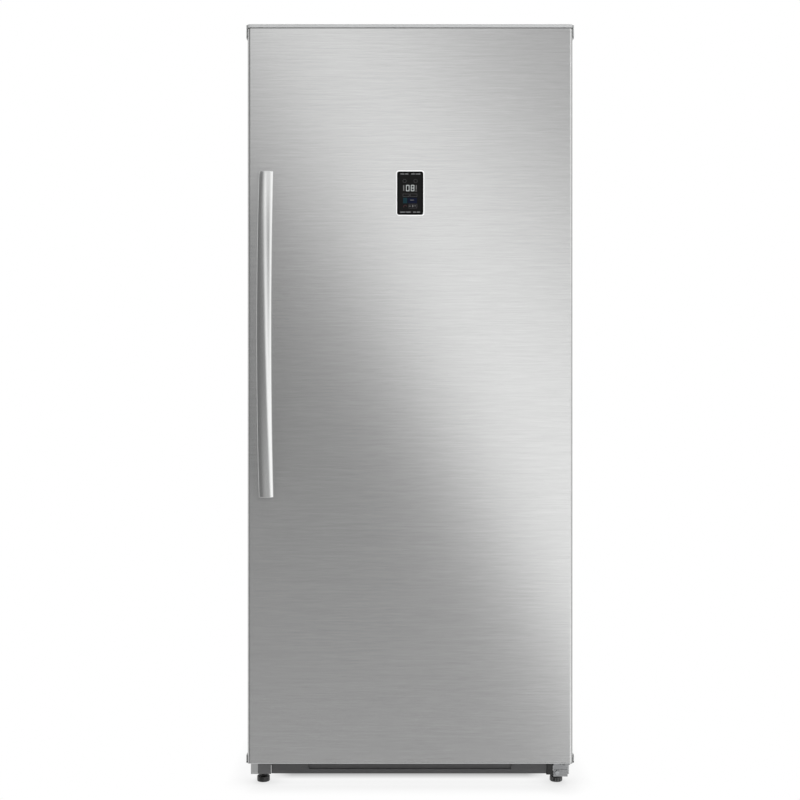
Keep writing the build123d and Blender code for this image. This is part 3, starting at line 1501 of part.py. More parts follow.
with BuildPart() as door_top_cap:
    with BuildSketch(Plane.XY.offset(foam_high)):
        add(door_plan(0, door_back, SKIN_BEND))
    extrude(amount=LID)
    # Skirt that plugs into the skin.
    with BuildSketch(Plane.XY.offset(foam_high)):
        add(skirt_plan(0))
        add(skirt_plan(MOULDED), mode=Mode.SUBTRACT)
    extrude(amount=-CAP_SKIRT)
    # Ears that wrap the skin's upper corners.
    for side in (-1, 1):
        with BuildSketch(Plane.YZ.offset(side * (door_half + RUN))):
            window(door_front + EAR_SETBACK, door_back - 1, DOOR_TOP - TOP_EAR, DOOR_TOP - 1)
            chamfer(vertices().group_by(Axis.Z)[0], EAR_CORNER)
        extrude(amount=side * (CAP_EAR - RUN))
        block(
            side * (door_half - 2),
            side * (door_half + CAP_EAR),
            door_front + EAR_SETBACK,
            door_back - 1,
            foam_high,
            DOOR_TOP - 1,
        )
    bush_seat(foam_high - 1, DOOR_TOP + 1, 0)
write(door_top_cap, "door_top_cap")

with BuildPart() as door_bottom_cap:
    with BuildSketch(Plane.XY.offset(DOOR_BOTTOM)):
        add(door_plan(0, door_back, SKIN_BEND))
    extrude(amount=LIP)
    with BuildSketch(Plane.XY.offset(DOOR_BOTTOM)):
        add(skirt_plan(0))
    extrude(amount=CAP_FLOOR)
    with BuildSketch(Plane.XY.offset(foam_low)):
        add(skirt_plan(0))
        add(skirt_plan(MOULDED), mode=Mode.SUBTRACT)
    extrude(amount=CAP_SKIRT - CAP_FLOOR)
    for side in (-1, 1):
        with BuildSketch(Plane.YZ.offset(side * (door_half + RUN))):
            window(
                door_front + EAR_SETBACK, door_back - 1, DOOR_BOTTOM + 1, DOOR_BOTTOM + BOTTOM_EAR
            )
            chamfer(vertices().group_by(Axis.Z)[-1], EAR_CORNER)
        extrude(amount=side * (CAP_EAR - RUN))
        block(
            side * (door_half - 2),
            side * (door_half + CAP_EAR),
            door_front + EAR_SETBACK,
            door_back - 1,
            DOOR_BOTTOM + 1,
            DOOR_BOTTOM + LIP,
        )
    bush_seat(DOOR_BOTTOM - 1, foam_low + 1, 0)
write(door_bottom_cap, "door_bottom_cap")

with BuildPart() as hinge_bushes:
    for low, high in (
        (DOOR_TOP - PIN_DEPTH - 2, DOOR_TOP),
        (DOOR_BOTTOM, DOOR_BOTTOM + PIN_DEPTH),
    ):
        with BuildSketch(Plane.XY.offset(low)):
            with Locations((hinge_x, hinge_y)):
                RegularPolygon(BUSH_RADIUS, BUSH_SIDES)
                Circle(PIN_RADIUS + PIN_FIT, mode=Mode.SUBTRACT)
        extrude(amount=high - low)
write(hinge_bushes, "hinge_bushes")

# ------------------------------------------------------------------ door liner and foam
DYKE_OUTER_GAP = 9.0  # the raised border inside the door, to the lined space's walls
DYKE_WIDTH = 18.0
DYKE_HEIGHT = 31.0
DYKE_BEVEL = 2.0
BOSS = 5.0  # bosses that the bins hang on
BOSS_REACH = (8.0, 24.0)  # their front and rear, from the liner's face
BOSS_BOTTOM = 34.0
BOSS_TOP = 60.0
dyke_half = cavity_half - DYKE_OUTER_GAP
dyke_low = cavity_floor + DYKE_OUTER_GAP
dyke_high = cavity_ceiling - DYKE_OUTER_GAP
dyke_inner_half = dyke_half - DYKE_WIDTH

with BuildPart() as door_liner:
    with BuildSketch(facing(liner_face)):
        window(
            2 * RUN - skin_inner_half, skin_inner_half - 2 * RUN, foam_low + RUN, foam_high - RUN
        )
    extrude(amount=LINER)
    with BuildSketch(facing(liner_face)):
        add(frame_face(dyke_half, dyke_low, dyke_high, DYKE_WIDTH))
    extrude(amount=-DYKE_HEIGHT)
    chamfer(door_liner.faces().sort_by(Axis.Y)[-1].edges(), DYKE_BEVEL)
    with BuildSketch(facing(liner_rear - 1)):
        add(frame_face(dyke_half - LINER, dyke_low + LINER, dyke_high - LINER, DYKE_WIDTH - 2 * LINER))
    extrude(amount=-1 - LINER - DYKE_HEIGHT + LINER, mode=Mode.SUBTRACT)
    for side in (-1, 1):
        for level in BIN_LEVELS:
            block(
                side * (dyke_inner_half - BOSS),
                side * dyke_inner_half,
                liner_face + BOSS_REACH[0],
                liner_face + BOSS_REACH[1],
                level + BOSS_BOTTOM,
                level + BOSS_TOP,
            )
write(door_liner, "door_liner")

HOUSING_DEPTH = 24.0
HOUSING_WALL = 1.6
housing_margin = BEZEL_SKIRT + RUN + HOUSING_WALL

with BuildPart() as door_foam:
    # The ends fill the caps' skirts, and the middle fills the skin.
    for low, high, plan in (
        (foam_low, DOOR_BOTTOM + CAP_SKIRT, skirt_plan(MOULDED)),
        (DOOR_BOTTOM + CAP_SKIRT, foam_high - CAP_SKIRT, door_plan(SHEET, liner_rear, SKIN_BEND - SHEET)),
        (foam_high - CAP_SKIRT, foam_high, skirt_plan(MOULDED)),
    ):
        with BuildSketch(Plane.XY.offset(low)):
            add(plan)
        extrude(amount=high - low)
    with BuildSketch(facing(liner_rear)):
        add(frame_face(dyke_half - LINER, dyke_low + LINER, dyke_high - LINER, DYKE_WIDTH - 2 * LINER))
    extrude(amount=-DYKE_HEIGHT)
    with BuildSketch(facing(skin_inner_front - 1)):
        add(panel_face(housing_margin))
    extrude(amount=-1 - HOUSING_DEPTH, mode=Mode.SUBTRACT)
    for level in mount_levels:
        rod(
            (handle_x, skin_inner_front - 1, level),
            (handle_x, door_front + STUD_LENGTH + 2, level),
            MOUNT_STUD + RUN,
            Mode.SUBTRACT,
        )
    bush_seat(foam_low - 1, DOOR_BOTTOM + PIN_DEPTH + 1, RUN)
    bush_seat(DOOR_TOP - PIN_DEPTH - 3, foam_high + 1, RUN)
write(door_foam, "door_foam")

GASKET_WIDTH = 16.0
GASKET_LAP = 1.5  # how far the gasket reaches inside the steel frame
# Start, depth and inset of the base, the narrow bellows and the magnet strip.
GASKET_LAYERS = ((0.0, 3.0, 0.0), (3.0, 5.0, 5.0), (8.0, 6.0 - RUN, 1.5))
gasket_half = frame_half - GASKET_LAP + GASKET_WIDTH
gasket_low = rim_level + GASKET_LAP - GASKET_WIDTH
gasket_high = lintel_level - GASKET_LAP + GASKET_WIDTH
with BuildPart() as door_gasket:
    for start, depth, inset in GASKET_LAYERS:
        with BuildSketch(facing(liner_face + start)):
            add(
                frame_face(
                    gasket_half - inset,
                    gasket_low + inset,
                    gasket_high - inset,
                    GASKET_WIDTH - 2 * inset,
                )
            )
        extrude(amount=-depth)
write(door_gasket, "door_gasket")

# ------------------------------------------------------------------ handle
CROWN = 4.0
BAR_BEVEL = 1.2
MOUNT_SIZE = (22.0, 34.0)
MOUNT_CORNER = 5.0
with BuildPart() as handle_bar:
    lower_end = Plane(
        origin=(
            handle_x,
            handle_axis_y - handle_radius * cos(handle_sweep),
            HANDLE_MIDDLE - handle_radius * sin(handle_sweep),
        ),
        x_dir=(1, 0, 0),
        z_dir=(0, -sin(handle_sweep), cos(handle_sweep)),
    )
    with BuildSketch(lower_end):
        with BuildLine():
            half = HANDLE_WIDTH / 2
            ThreePointArc((-half, CROWN), (0, 0), (half, CROWN))
            Polyline((half, CROWN), (half, HANDLE_THICKNESS), (-half, HANDLE_THICKNESS), (-half, CROWN))
        make_face()
        chamfer(vertices(), BAR_BEVEL)
    revolve(
        axis=Axis((handle_x, handle_axis_y, HANDLE_MIDDLE), (-1, 0, 0)),
        revolution_arc=degrees(2 * handle_sweep),
    )
write(handle_bar, "handle_bar")

with BuildPart() as handle_mounts:
    with BuildSketch(facing(door_front)):
        with Locations(*[(handle_x, level) for level in mount_levels]):
            eased_box(*MOUNT_SIZE, MOUNT_CORNER)
    extrude(amount=HANDLE_END_REACH + 2)
    add(handle_bar.part, mode=Mode.SUBTRACT)
    for level in mount_levels:
        rod((handle_x, door_front - 1, level), (handle_x, door_front + STUD_LENGTH, level), MOUNT_STUD)
write(handle_mounts, "handle_mounts")

# ------------------------------------------------------------------ control panel
PANEL_GLASS = 2.0
PANEL_LEDGE = 3.0
LEDGE_SHEET = 1.4
GLASS_SETBACK = 0.4  # glass behind the bezel's front
BEZEL_BEVEL = 0.6
BEZEL_DEPTH = 5.0
POST_INSET = 14.0  # four posts carry the board
POST = 6.0
POST_HEIGHT = 10.0
BOARD_GAP = 1.5
BOARD = 1.6
DISPLAY = (38.0, 19.0)
DISPLAY_RISE = 12.0
LAMP = (6.0, 5.0)
LAMP_PITCH = 18.0
LAMP_DROP = 20.0
LAMP_DEPTH = 4.0
glass_front = door_front - BEZEL_PROUD + GLASS_SETBACK
with BuildPart() as panel_bezel:
    with BuildSketch(facing(door_front)):
        add(panel_face(BEZEL_RING))
        add(panel_face(RUN), mode=Mode.SUBTRACT)
    extrude(amount=BEZEL_PROUD)
    chamfer(panel_bezel.faces().sort_by(Axis.Y)[0].outer_wire().edges(), BEZEL_BEVEL)
    with BuildSketch(facing(door_front)):
        add(panel_face(BEZEL_SKIRT))
        add(panel_face(RUN), mode=Mode.SUBTRACT)
    extrude(amount=-BEZEL_DEPTH)
    with BuildSketch(facing(glass_front + PANEL_GLASS)):
        add(panel_face(BEZEL_SKIRT))
        add(panel_face(-PANEL_LEDGE), mode=Mode.SUBTRACT)
    extrude(amount=-LEDGE_SHEET)
write(panel_bezel, "panel_bezel")

with BuildPart() as panel_lens:
    with BuildSketch(facing(glass_front)):
        add(panel_face(0))
    extrude(amount=-PANEL_GLASS)
write(panel_lens, "panel_lens")

with BuildPart() as display_housing:
    with BuildSketch(facing(skin_inner_front)):
        add(panel_face(housing_margin))
    extrude(amount=-HOUSING_DEPTH)
    with BuildSketch(facing(skin_inner_front - 1)):
        add(panel_face(BEZEL_SKIRT + RUN))
    extrude(amount=-1 - HOUSING_DEPTH + HOUSING_WALL, mode=Mode.SUBTRACT)
    with BuildSketch(facing(skin_inner_front + HOUSING_DEPTH - HOUSING_WALL)):
        with Locations((0, PANEL_MIDDLE)):
            with GridLocations(PANEL_WIDTH - POST_INSET, PANEL_HEIGHT - POST_INSET, 2, 2):
                Rectangle(POST, POST)
    extrude(amount=POST_HEIGHT)
write(display_housing, "display_housing")

with BuildPart() as display_board:
    board_rear = skin_inner_front + HOUSING_DEPTH - HOUSING_WALL - POST_HEIGHT
    with BuildSketch(facing(board_rear)):
        add(panel_face(-BOARD_GAP))
    extrude(amount=BOARD)
    # Digit display and the row of lamps behind the glass.
    with BuildSketch(facing(board_rear - BOARD)):
        with Locations((0, PANEL_MIDDLE + DISPLAY_RISE)):
            Rectangle(*DISPLAY)
        with Locations((0, PANEL_MIDDLE - LAMP_DROP)):
            with GridLocations(LAMP_PITCH, LAMP_PITCH, 3, 2):
                Rectangle(*LAMP)
    extrude(amount=LAMP_DEPTH)
write(display_board, "display_board")

# ------------------------------------------------------------------ door bins
BIN_WALL = 2.5
BIN_CORNER = 10.0
BIN_SIDE_GAP = 1.5  # bin hooks to the dyke's inner walls
HOOK = 5.5
HOOK_REACH = (6.0, 26.0)  # their front and rear, from the liner's face
HOOK_HEIGHT = 24.0
BIN_RIM = (5.0, 8.0)
BIN_RAKE = 8.0  # a bin's front leans out by this much
bin_half = dyke_inner_half - BIN_SIDE_GAP - HOOK
bin_back = liner_face + RUN
bin_front = liner_face + BIN_DEPTH


def bin_profile(wall, top):
    """Side view of a bin, set in by its wall, from its floor level."""
    return [
        (bin_back + wall, wall),
        (bin_back + wall, top),
        (bin_front - wall, top),
        (bin_front - wall - BIN_RAKE, wall),
    ]


for number, level in enumerate(BIN_LEVELS, start=1):
    with BuildPart() as door_bin:
        with BuildSketch(Plane.YZ.offset(-bin_half)):
            with BuildLine():
                Polyline(*[(y, level + z) for y, z in bin_profile(0, BIN_HEIGHT)], close=True)
            make_face()
            chamfer(vertices().group_by(Axis.Z)[0], BIN_CORNER)
        extrude(amount=2 * bin_half)
        with BuildSketch(Plane.YZ.offset(-bin_half + BIN_WALL)):
            with BuildLine():
                Polyline(
                    *[(y, level + z) for y, z in bin_profile(BIN_WALL, BIN_HEIGHT + 1)], close=True
                )
            make_face()
            chamfer(vertices().group_by(Axis.Z)[0], BIN_CORNER - 0.6 * BIN_WALL)
        extrude(amount=2 * (bin_half - BIN_WALL), mode=Mode.SUBTRACT)
        # Rolled rim along the front, and the hooks that rest on the door's bosses.
        rim_top = level + BIN_HEIGHT
        block(-bin_half, bin_half, bin_front - BIN_RIM[0], bin_front, rim_top - BIN_RIM[1], rim_top)
        for side in (-1, 1):
            block(
                side * bin_half,
                side * (bin_half + HOOK),
                liner_face + HOOK_REACH[0],
                liner_face + HOOK_REACH[1],
                level + BOSS_TOP + RUN,
                level + BOSS_TOP + HOOK_HEIGHT,
            )
    write(door_bin, f"door_bin_{number}")
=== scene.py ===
"""Upright freezer with one brushed steel door, dressed and lit as a studio picture.

Every size is in metres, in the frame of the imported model: +X to the viewer's right, +Y from the
door to the back, +Z up, with the floor at zero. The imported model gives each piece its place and
its outline. This file gives it softened edges, fine detail, a finish, and a studio round it.
"""

import logging
import math
from dataclasses import dataclass, field
from enum import Enum
from typing import Any, Iterable, Mapping, Sequence

import bmesh
import bpy
from mathutils import Matrix, Vector


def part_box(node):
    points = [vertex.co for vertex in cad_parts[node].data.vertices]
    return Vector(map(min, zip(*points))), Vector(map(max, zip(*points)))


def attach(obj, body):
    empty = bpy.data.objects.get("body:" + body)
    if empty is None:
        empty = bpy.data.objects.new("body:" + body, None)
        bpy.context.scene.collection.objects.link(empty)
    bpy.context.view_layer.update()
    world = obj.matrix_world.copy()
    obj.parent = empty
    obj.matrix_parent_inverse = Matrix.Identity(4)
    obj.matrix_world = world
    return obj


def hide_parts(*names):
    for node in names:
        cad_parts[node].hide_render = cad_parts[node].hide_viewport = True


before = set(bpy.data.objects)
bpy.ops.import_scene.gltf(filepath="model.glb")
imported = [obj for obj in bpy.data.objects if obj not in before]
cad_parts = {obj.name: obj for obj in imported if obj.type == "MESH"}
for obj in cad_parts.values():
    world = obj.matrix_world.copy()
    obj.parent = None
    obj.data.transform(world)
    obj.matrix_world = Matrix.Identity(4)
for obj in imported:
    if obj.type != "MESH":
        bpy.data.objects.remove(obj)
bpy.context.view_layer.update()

Colour = tuple[float, float, float]
Point = tuple[float, float, float]
Outline = list[tuple[float, float]]
Look = dict[str, Any]
Ramp = tuple[float, float, float]
Flank = tuple[float, float, float]
MM = 0.001
WHITE = (1.0, 1.0, 1.0)
MERGE = 1e-6
LOG = logging.getLogger("freezer")


# ---------------------------------------------------------------------------------- shader maths
class Signal:
    """A number inside a material, so that shader maths is written as plain expressions."""

    def __init__(self, graph: "Graph", socket: bpy.types.NodeSocket) -> None:
        """Wraps a socket of a graph."""
        self.graph = graph
        self.socket = socket

    def _join(self, operation: str, first: Any, second: Any = None) -> "Signal":
        """Adds a Math node.

        Args:
            operation: The Math node's operation.
            first: Its first input, a signal or a number.
            second: Its second input, where it has one.

        Returns:
            The node's result.
        """
        inputs = {0: first} if second is None else {0: first, 1: second}
        node = self.graph.add("ShaderNodeMath", {"operation": operation}, inputs)
        return Signal(self.graph, node.outputs[0])

    def __add__(self, other: Any) -> "Signal":
        """Sum."""
        return self._join("ADD", self, other)

    def __radd__(self, other: Any) -> "Signal":
        """Sum, reflected."""
        return self._join("ADD", other, self)

    def __sub__(self, other: Any) -> "Signal":
        """Difference."""
        return self._join("SUBTRACT", self, other)

    def __rsub__(self, other: Any) -> "Signal":
        """Difference, reflected."""
        return self._join("SUBTRACT", other, self)

    def __mul__(self, other: Any) -> "Signal":
        """Product."""
        return self._join("MULTIPLY", self, other)

    def __rmul__(self, other: Any) -> "Signal":
        """Product, reflected."""
        return self._join("MULTIPLY", other, self)

    def __truediv__(self, other: Any) -> "Signal":
        """Quotient."""
        return self._join("DIVIDE", self, other)

    def __rtruediv__(self, other: Any) -> "Signal":
        """Quotient, reflected."""
        return self._join("DIVIDE", other, self)

    def __pow__(self, other: Any) -> "Signal":
        """Power."""
        return self._join("POWER", self, other)

    def __neg__(self) -> "Signal":
        """Opposite."""
        return self._join("MULTIPLY", self, -1.0)

    def exp(self) -> "Signal":
        """Natural exponential."""
        return self._join("EXPONENT", self)

    def maximum(self, other: Any) -> "Signal":
        """The larger of two."""
        return self._join("MAXIMUM", self, other)

    def minimum(self, other: Any) -> "Signal":
        """The smaller of two."""
        return self._join("MINIMUM", self, other)

    def spread(self, low: float, high: float) -> "Signal":
        """This signal, from nought to one, spread between two numbers."""
        return self * (high - low) + low

    def ramp(self, start: float, length: float) -> "Signal":
        """Goes from nought at a start to one a length further on, which may be negative."""
        return ((self - start) / length).maximum(0.0).minimum(1.0)


class Tree:
    """A node tree under construction."""

    def __init__(self, tree: bpy.types.NodeTree) -> None:
        """Takes a tree and empties it."""
        self.tree = tree
        tree.nodes.clear()

    def feed(self, node: bpy.types.Node, inputs: Mapping[Any, Any]) -> None:
        """Sets or links inputs of a node.

        Args:
            node: The node.
            inputs: Values, sockets or signals by the input's name or number.
        """
        for key, value in inputs.items():
            target = node.inputs[key]
            if isinstance(value, Signal):
                value = value.socket
            if isinstance(value, bpy.types.NodeSocket):
                self.tree.links.new(value, target)
            elif target.type == "RGBA":
                target.default_value = (*value, 1.0)
            else:
                target.default_value = value

    def add(
        self, kind: str, settings: Mapping[str, Any] = {}, inputs: Mapping[Any, Any] = {}
    ) -> bpy.types.Node:
        """Adds one node.

        Args:
            kind: The node's type.
            settings: Attributes of the node, which are set first.
            inputs: Values, sockets or signals by the input's name or number.

        Returns:
            The node.
        """
        node = self.tree.nodes.new(kind)
        for name, value in settings.items():
            setattr(node, name, value)
        self.feed(node, inputs)
        return node


class Graph(Tree):
    """A material's or the world's node tree, with the patterns that the finishes share."""

    def number(self, node: bpy.types.Node, output: Any = 0) -> Signal:
        """An output of a node, as a signal."""
        return Signal(self, node.outputs[output])

    def place(self, scale: float | Point) -> bpy.types.NodeSocket:
        """Object coordinates, stretched.

        Args:
            scale: Pattern units in a metre, one number or one for each axis.

        Returns:
            The vector socket.
        """
        axes = scale if isinstance(scale, tuple) else (scale, scale, scale)
        source = self.add("ShaderNodeTexCoord").outputs["Object"]
        return self.add("ShaderNodeMapping", {}, {"Vector": source, "Scale": axes}).outputs[0]

    def where(self) -> dict[str, Signal]:
        """Each object coordinate by its letter."""
        split = self.add("ShaderNodeSeparateXYZ", {}, {0: self.place(1.0)})
        return {letter: self.number(split, letter) for letter in "XYZ"}

    def noise(self, scale: float | Point, detail: float = 2.0, roughness: float = 0.5) -> Signal:
        """Noise on object coordinates, from nought to one.

        Args:
            scale: Pattern units in a metre, one number or one for each axis.
            detail: How many finer layers it has.
            roughness: How strong they are.

        Returns:
            The noise.
        """
        inputs = {"Vector": self.place(scale), "Scale": 1.0}
        inputs |= {"Detail": detail, "Roughness": roughness}
        return self.number(self.add("ShaderNodeTexNoise", {}, inputs), "Fac")

    def cells(self, scale: float) -> bpy.types.Node:
        """Cells on object coordinates."""
        return self.add("ShaderNodeTexVoronoi", {}, {"Vector": self.place(scale), "Scale": 1.0})

    def enclosure(self, distance: float, samples: int) -> Signal:
        """One in the open, less where surfaces stand within a distance."""
        settings, inputs = {"samples": samples}, {"Distance": distance}
        return self.number(self.add("ShaderNodeAmbientOcclusion", settings, inputs), "AO")

    def blend(self, amount: Any, first: Any, second: Any) -> bpy.types.NodeSocket:
        """Mixes two colours by an amount."""
        inputs = {0: amount, 6: first, 7: second}
        return self.add("ShaderNodeMix", {"data_type": "RGBA"}, inputs).outputs[2]

    def bump(self, height: Any, strength: float, distance: float) -> bpy.types.NodeSocket:
        """A normal that is bumped by a height."""
        inputs = {"Height": height, "Strength": strength, "Distance": distance}
        return self.add("ShaderNodeBump", {}, inputs).outputs[0]

    def close(self, kind: str, shader: bpy.types.Node) -> None:
        """Sends a shader to an output node."""
        self.add(kind, {}, {"Surface": shader.outputs[0]})


# -------------------------------------------------------------------------------------- finishes
@dataclass(frozen=True)
class Finish:
    """A surface's look. Each kind of finish adds its own pattern.

    Attributes:
        name: The finish's name.
        slot: A material slot's name. Not used.
        colour: Base colour, linear.
        roughness: Mean roughness.
        metallic: One for bare metal.
    """

    name: str
    slot: str
    colour: Colour
    roughness: float
    metallic: float = 0.0

    def material(self) -> bpy.types.Material:
        """The finish as a Blender material, made on first use.

        Returns:
            The material. Its name is unlike any slot's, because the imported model's plain
            materials are named after the slots.
        """
        title = f"{self.name}_finish"
        known = bpy.data.materials.get(title)
        if known:
            return known
        material = bpy.data.materials.new(title)
        material.use_nodes = True
        graph = Graph(material.node_tree)
        plain = {
            "Base Color": self.colour,
            "Roughness": self.roughness,
            "Metallic": self.metallic,
        }
        shader = graph.add("ShaderNodeBsdfPrincipled", {}, plain | self.constants())
        graph.feed(shader, self.pattern(graph))
        graph.close("ShaderNodeOutputMaterial", shader)
        return material

    def constants(self) -> Look:
        """Other inputs of the shader that are the same all over."""
        return {}

    def pattern(self, graph: Graph) -> Look:
        """What changes over the surface, by the shader's input."""
        return {}

    def shade(self, factor: float) -> Colour:
        """The base colour made lighter or darker by a factor."""
        return tuple(min(channel * factor, 1.0) for channel in self.colour)

    def tone(self, graph: Graph, mask: Signal, dark: float, light: float) -> bpy.types.NodeSocket:
        """The base colour, between a darker and a lighter shade by a mask."""
        return graph.blend(mask, self.shade(dark), self.shade(light))


class Grain(Enum):
    """Direction that sheet metal was brushed in, as the streaks' stretch along each axis."""

    ALONG_X = (1.0, 0.6, 60.0)
    ALONG_Z = (60.0, 60.0, 1.0)


@dataclass(frozen=True)
class BrushedSteel(Finish):
    """Stainless sheet with fine streaks one way.

    Attributes:
        grain: Direction of the streaks.
        contrast: How far the streaks change the tone.
    """

    grain: Grain = Grain.ALONG_X
    contrast: float = 0.085

    def pattern(self, graph: Graph) -> Look:
        """Long streaks, with short fine scratches between them.

        Args:
            graph: The material's node tree.

        Returns:
            What changes over the surface, by the shader's input.
        """
        x, y, z = self.grain.value
        streaks = graph.noise((8.0 * x, 8.0 * y, 7.5 * z), roughness=0.6)
        scratches = graph.noise((26.0 * x, 26.0 * y, 17.0 * z), roughness=0.6)
        mask = (streaks * 0.45 + scratches * 0.55 - 0.5) * 2.4 + 0.5
        return {
            "Base Color": self.tone(graph, mask, 1 - self.contrast, 1 + self.contrast),
            "Roughness": self.roughness + (scratches - 0.5) * 0.04,
            "Normal": graph.bump(scratches, strength=0.02, distance=0.0003),
        }


@dataclass(frozen=True)
class Moulded(Finish):
    """Injection-moulded or thermoformed plastic, or rubber, with a fine spark texture.

    Attributes:
        grain_mm: Size of the texture's grain.
        relief: Strength of the texture.
    """

    grain_mm: float = 0.8
    relief: float = 0.08

    def pattern(self, graph: Graph) -> Look:
        """Fine grain in height and gloss over a slow drift of the tone.

        Args:
            graph: The material's node tree.

        Returns:
            What changes over the surface, by the shader's input.
        """
        grain = graph.noise(1.0 / (self.grain_mm * MM))
        drift = graph.noise(7.0, detail=3.0)
        return {
            "Base Color": self.tone(graph, drift * 0.7 + grain * 0.3, 0.95, 1.05),
            "Roughness": self.roughness + (grain - 0.5) * 0.12 + (drift - 0.5) * 0.06,
            "Normal": graph.bump(grain, self.relief, distance=0.0003),
        }


@dataclass(frozen=True)
class GrooveShaded(Moulded):
    """Moulded plastic with painted shade: darker in its narrow grooves and seams, where walls stand
    close.

    Attributes:
        depth: How far from a wall the painted shade reaches.
        fall: How steeply it sets in.
        darkest: Tone of the painted shade at the bottom of a deep groove.
    """

    depth: float = 7.0 * MM
    fall: float = 4.0
    darkest: float = 0.10

    def pattern(self, graph: Graph) -> Look:
        """The moulded look, with painted shade where walls are close to each other.

        Args:
            graph: The material's node tree.

        Returns:
            What changes over the surface, by the shader's input.
        """
        look = super().pattern(graph)
        # Painted shade: the colour darkens where nearby walls would cast shade.
        sky = graph.enclosure(self.depth, samples=12) ** self.fall
        look["Base Color"] = graph.blend(sky, self.shade(self.darkest), look["Base Color"])
        return look


@dataclass(frozen=True)
class Painted(Finish):
    """Powder-coated sheet with a faint orange peel."""

    def pattern(self, graph: Graph) -> Look:
        """Orange peel in the height, and a slow drift of the tone.

        Args:
            graph: The material's node tree.

        Returns:
            What changes over the surface, by the shader's input.
        """
        peel = graph.noise(420.0)
        return {
            "Base Color": self.tone(graph, graph.noise(4.0, detail=3.0), 0.97, 1.03),
            "Roughness": self.roughness + (peel - 0.5) * 0.10,
            "Normal": graph.bump(peel, strength=0.12, distance=0.0004),
        }


@dataclass(frozen=True)
class Zinc(Finish):
    """Zinc-coated steel with the coating's crystal pattern."""

    def pattern(self, graph: Graph) -> Look:
        """Crystals of different tone and gloss, and light rolling marks.

        Args:
            graph: The material's node tree.

        Returns:
            What changes over the surface, by the shader's input.
        """
        crystals = graph.cells(130.0).outputs["Color"]
        grey = graph.number(graph.add("ShaderNodeRGBToBW", {}, {0: crystals}))
        rolled = graph.noise((6.0, 6.0, 240.0))
        return {
            "Base Color": self.tone(graph, grey * 0.7 + rolled * 0.3, 0.88, 1.10),
            "Roughness": self.roughness + (grey - 0.5) * 0.14,
            "Normal": graph.bump(rolled, strength=0.05, distance=0.0003),
        }


@dataclass(frozen=True)
class Clear(Finish):
    """Glass or clear plastic that shows what is behind it.

    Attributes:
        see_through: How much of what is behind shows.
        index: Refractive index.
    """

    see_through: float = 0.7
    index: float = 1.49

    def constants(self) -> Look:
        """Clear plastic bends light and is thin."""
        return {"Alpha": 1.0 - self.see_through, "IOR": self.index, "Coat Weight": 0.3}

    def pattern(self, graph: Graph) -> Look:
        """A faint waviness, as moulded sheet has.

        Args:
            graph: The material's node tree.

        Returns:
            What changes over the surface, by the shader's input.
        """
        wave = graph.noise(30.0, detail=1.0)
        normal = graph.bump(wave, strength=0.03, distance=0.0005)
        return {"Base Color": self.tone(graph, wave, 0.97, 1.0), "Normal": normal}


@dataclass(frozen=True)
class Foam(Finish):
    """Rigid foam with a skin of small cells."""

    def pattern(self, graph: Graph) -> Look:
        """Cells in the height and the tone.

        Args:
            graph: The material's node tree.

        Returns:
            What changes over the surface, by the shader's input.
        """
        depth = graph.number(graph.cells(500.0), "Distance")
        drift = graph.noise(12.0, detail=3.0)
        tone = self.tone(graph, depth * 0.5 + drift * 0.5, 0.90, 1.06)
        return {"Base Color": tone, "Normal": graph.bump(depth, strength=0.4, distance=0.0008)}


@dataclass(frozen=True)
class PanelGlass(Finish):
    """Dark coated glass, which mirrors little.

    Attributes:
        mirror: How much of the usual gloss it has.
    """

    mirror: float = 0.04

    def constants(self) -> Look:
        """The coating's weak reflection."""
        return {"Specular IOR Level": self.mirror}

    def pattern(self, graph: Graph) -> Look:
        """A faint unevenness of the printed layer behind the glass.

        Args:
            graph: The material's node tree.

        Returns:
            What changes over the surface, by the shader's input.
        """
        drift = graph.noise(60.0)
        rough = self.roughness + (drift - 0.5) * 0.04
        return {"Base Color": self.tone(graph, drift, 0.92, 1.08), "Roughness": rough}


@dataclass(frozen=True)
class Glow(Finish):
    """A lit symbol behind the panel's glass.

    Attributes:
        strength: Brightness of the light.
    """

    strength: float = 1.0

    def constants(self) -> Look:
        """The light that it gives, behind a weakly mirroring glass."""
        return {"Emission Strength": self.strength, "Specular IOR Level": 0.1}

    def pattern(self, graph: Graph) -> Look:
        """Light that is a little uneven, as over a small lamp.

        Args:
            graph: The material's node tree.

        Returns:
            What changes over the surface, by the shader's input.
        """
        uneven = graph.noise(260.0, detail=1.0)
        lit = self.tone(graph, uneven, 0.8, 1.0)
        return {"Base Color": self.tone(graph, uneven, 0.05, 0.1), "Emission Color": lit}


STEEL = BrushedSteel("brushed_steel_door", "stainless_steel", (0.560, 0.562, 0.560), 0.20, 0.86)
HANDLE_STEEL = BrushedSteel(
    "brushed_steel_handle", "stainless_steel", (0.66, 0.665, 0.66), 0.20, 1.0, Grain.ALONG_Z, 0.03
)
# Grey plastic with painted shade in its grooves and seams.
GREY_PLASTIC = GrooveShaded("grey_plastic", "grey_plastic", (0.46, 0.465, 0.465), 0.45)
BLACK_PLASTIC = Moulded("black_plastic", "black_plastic", (0.018, 0.018, 0.018), 0.42)
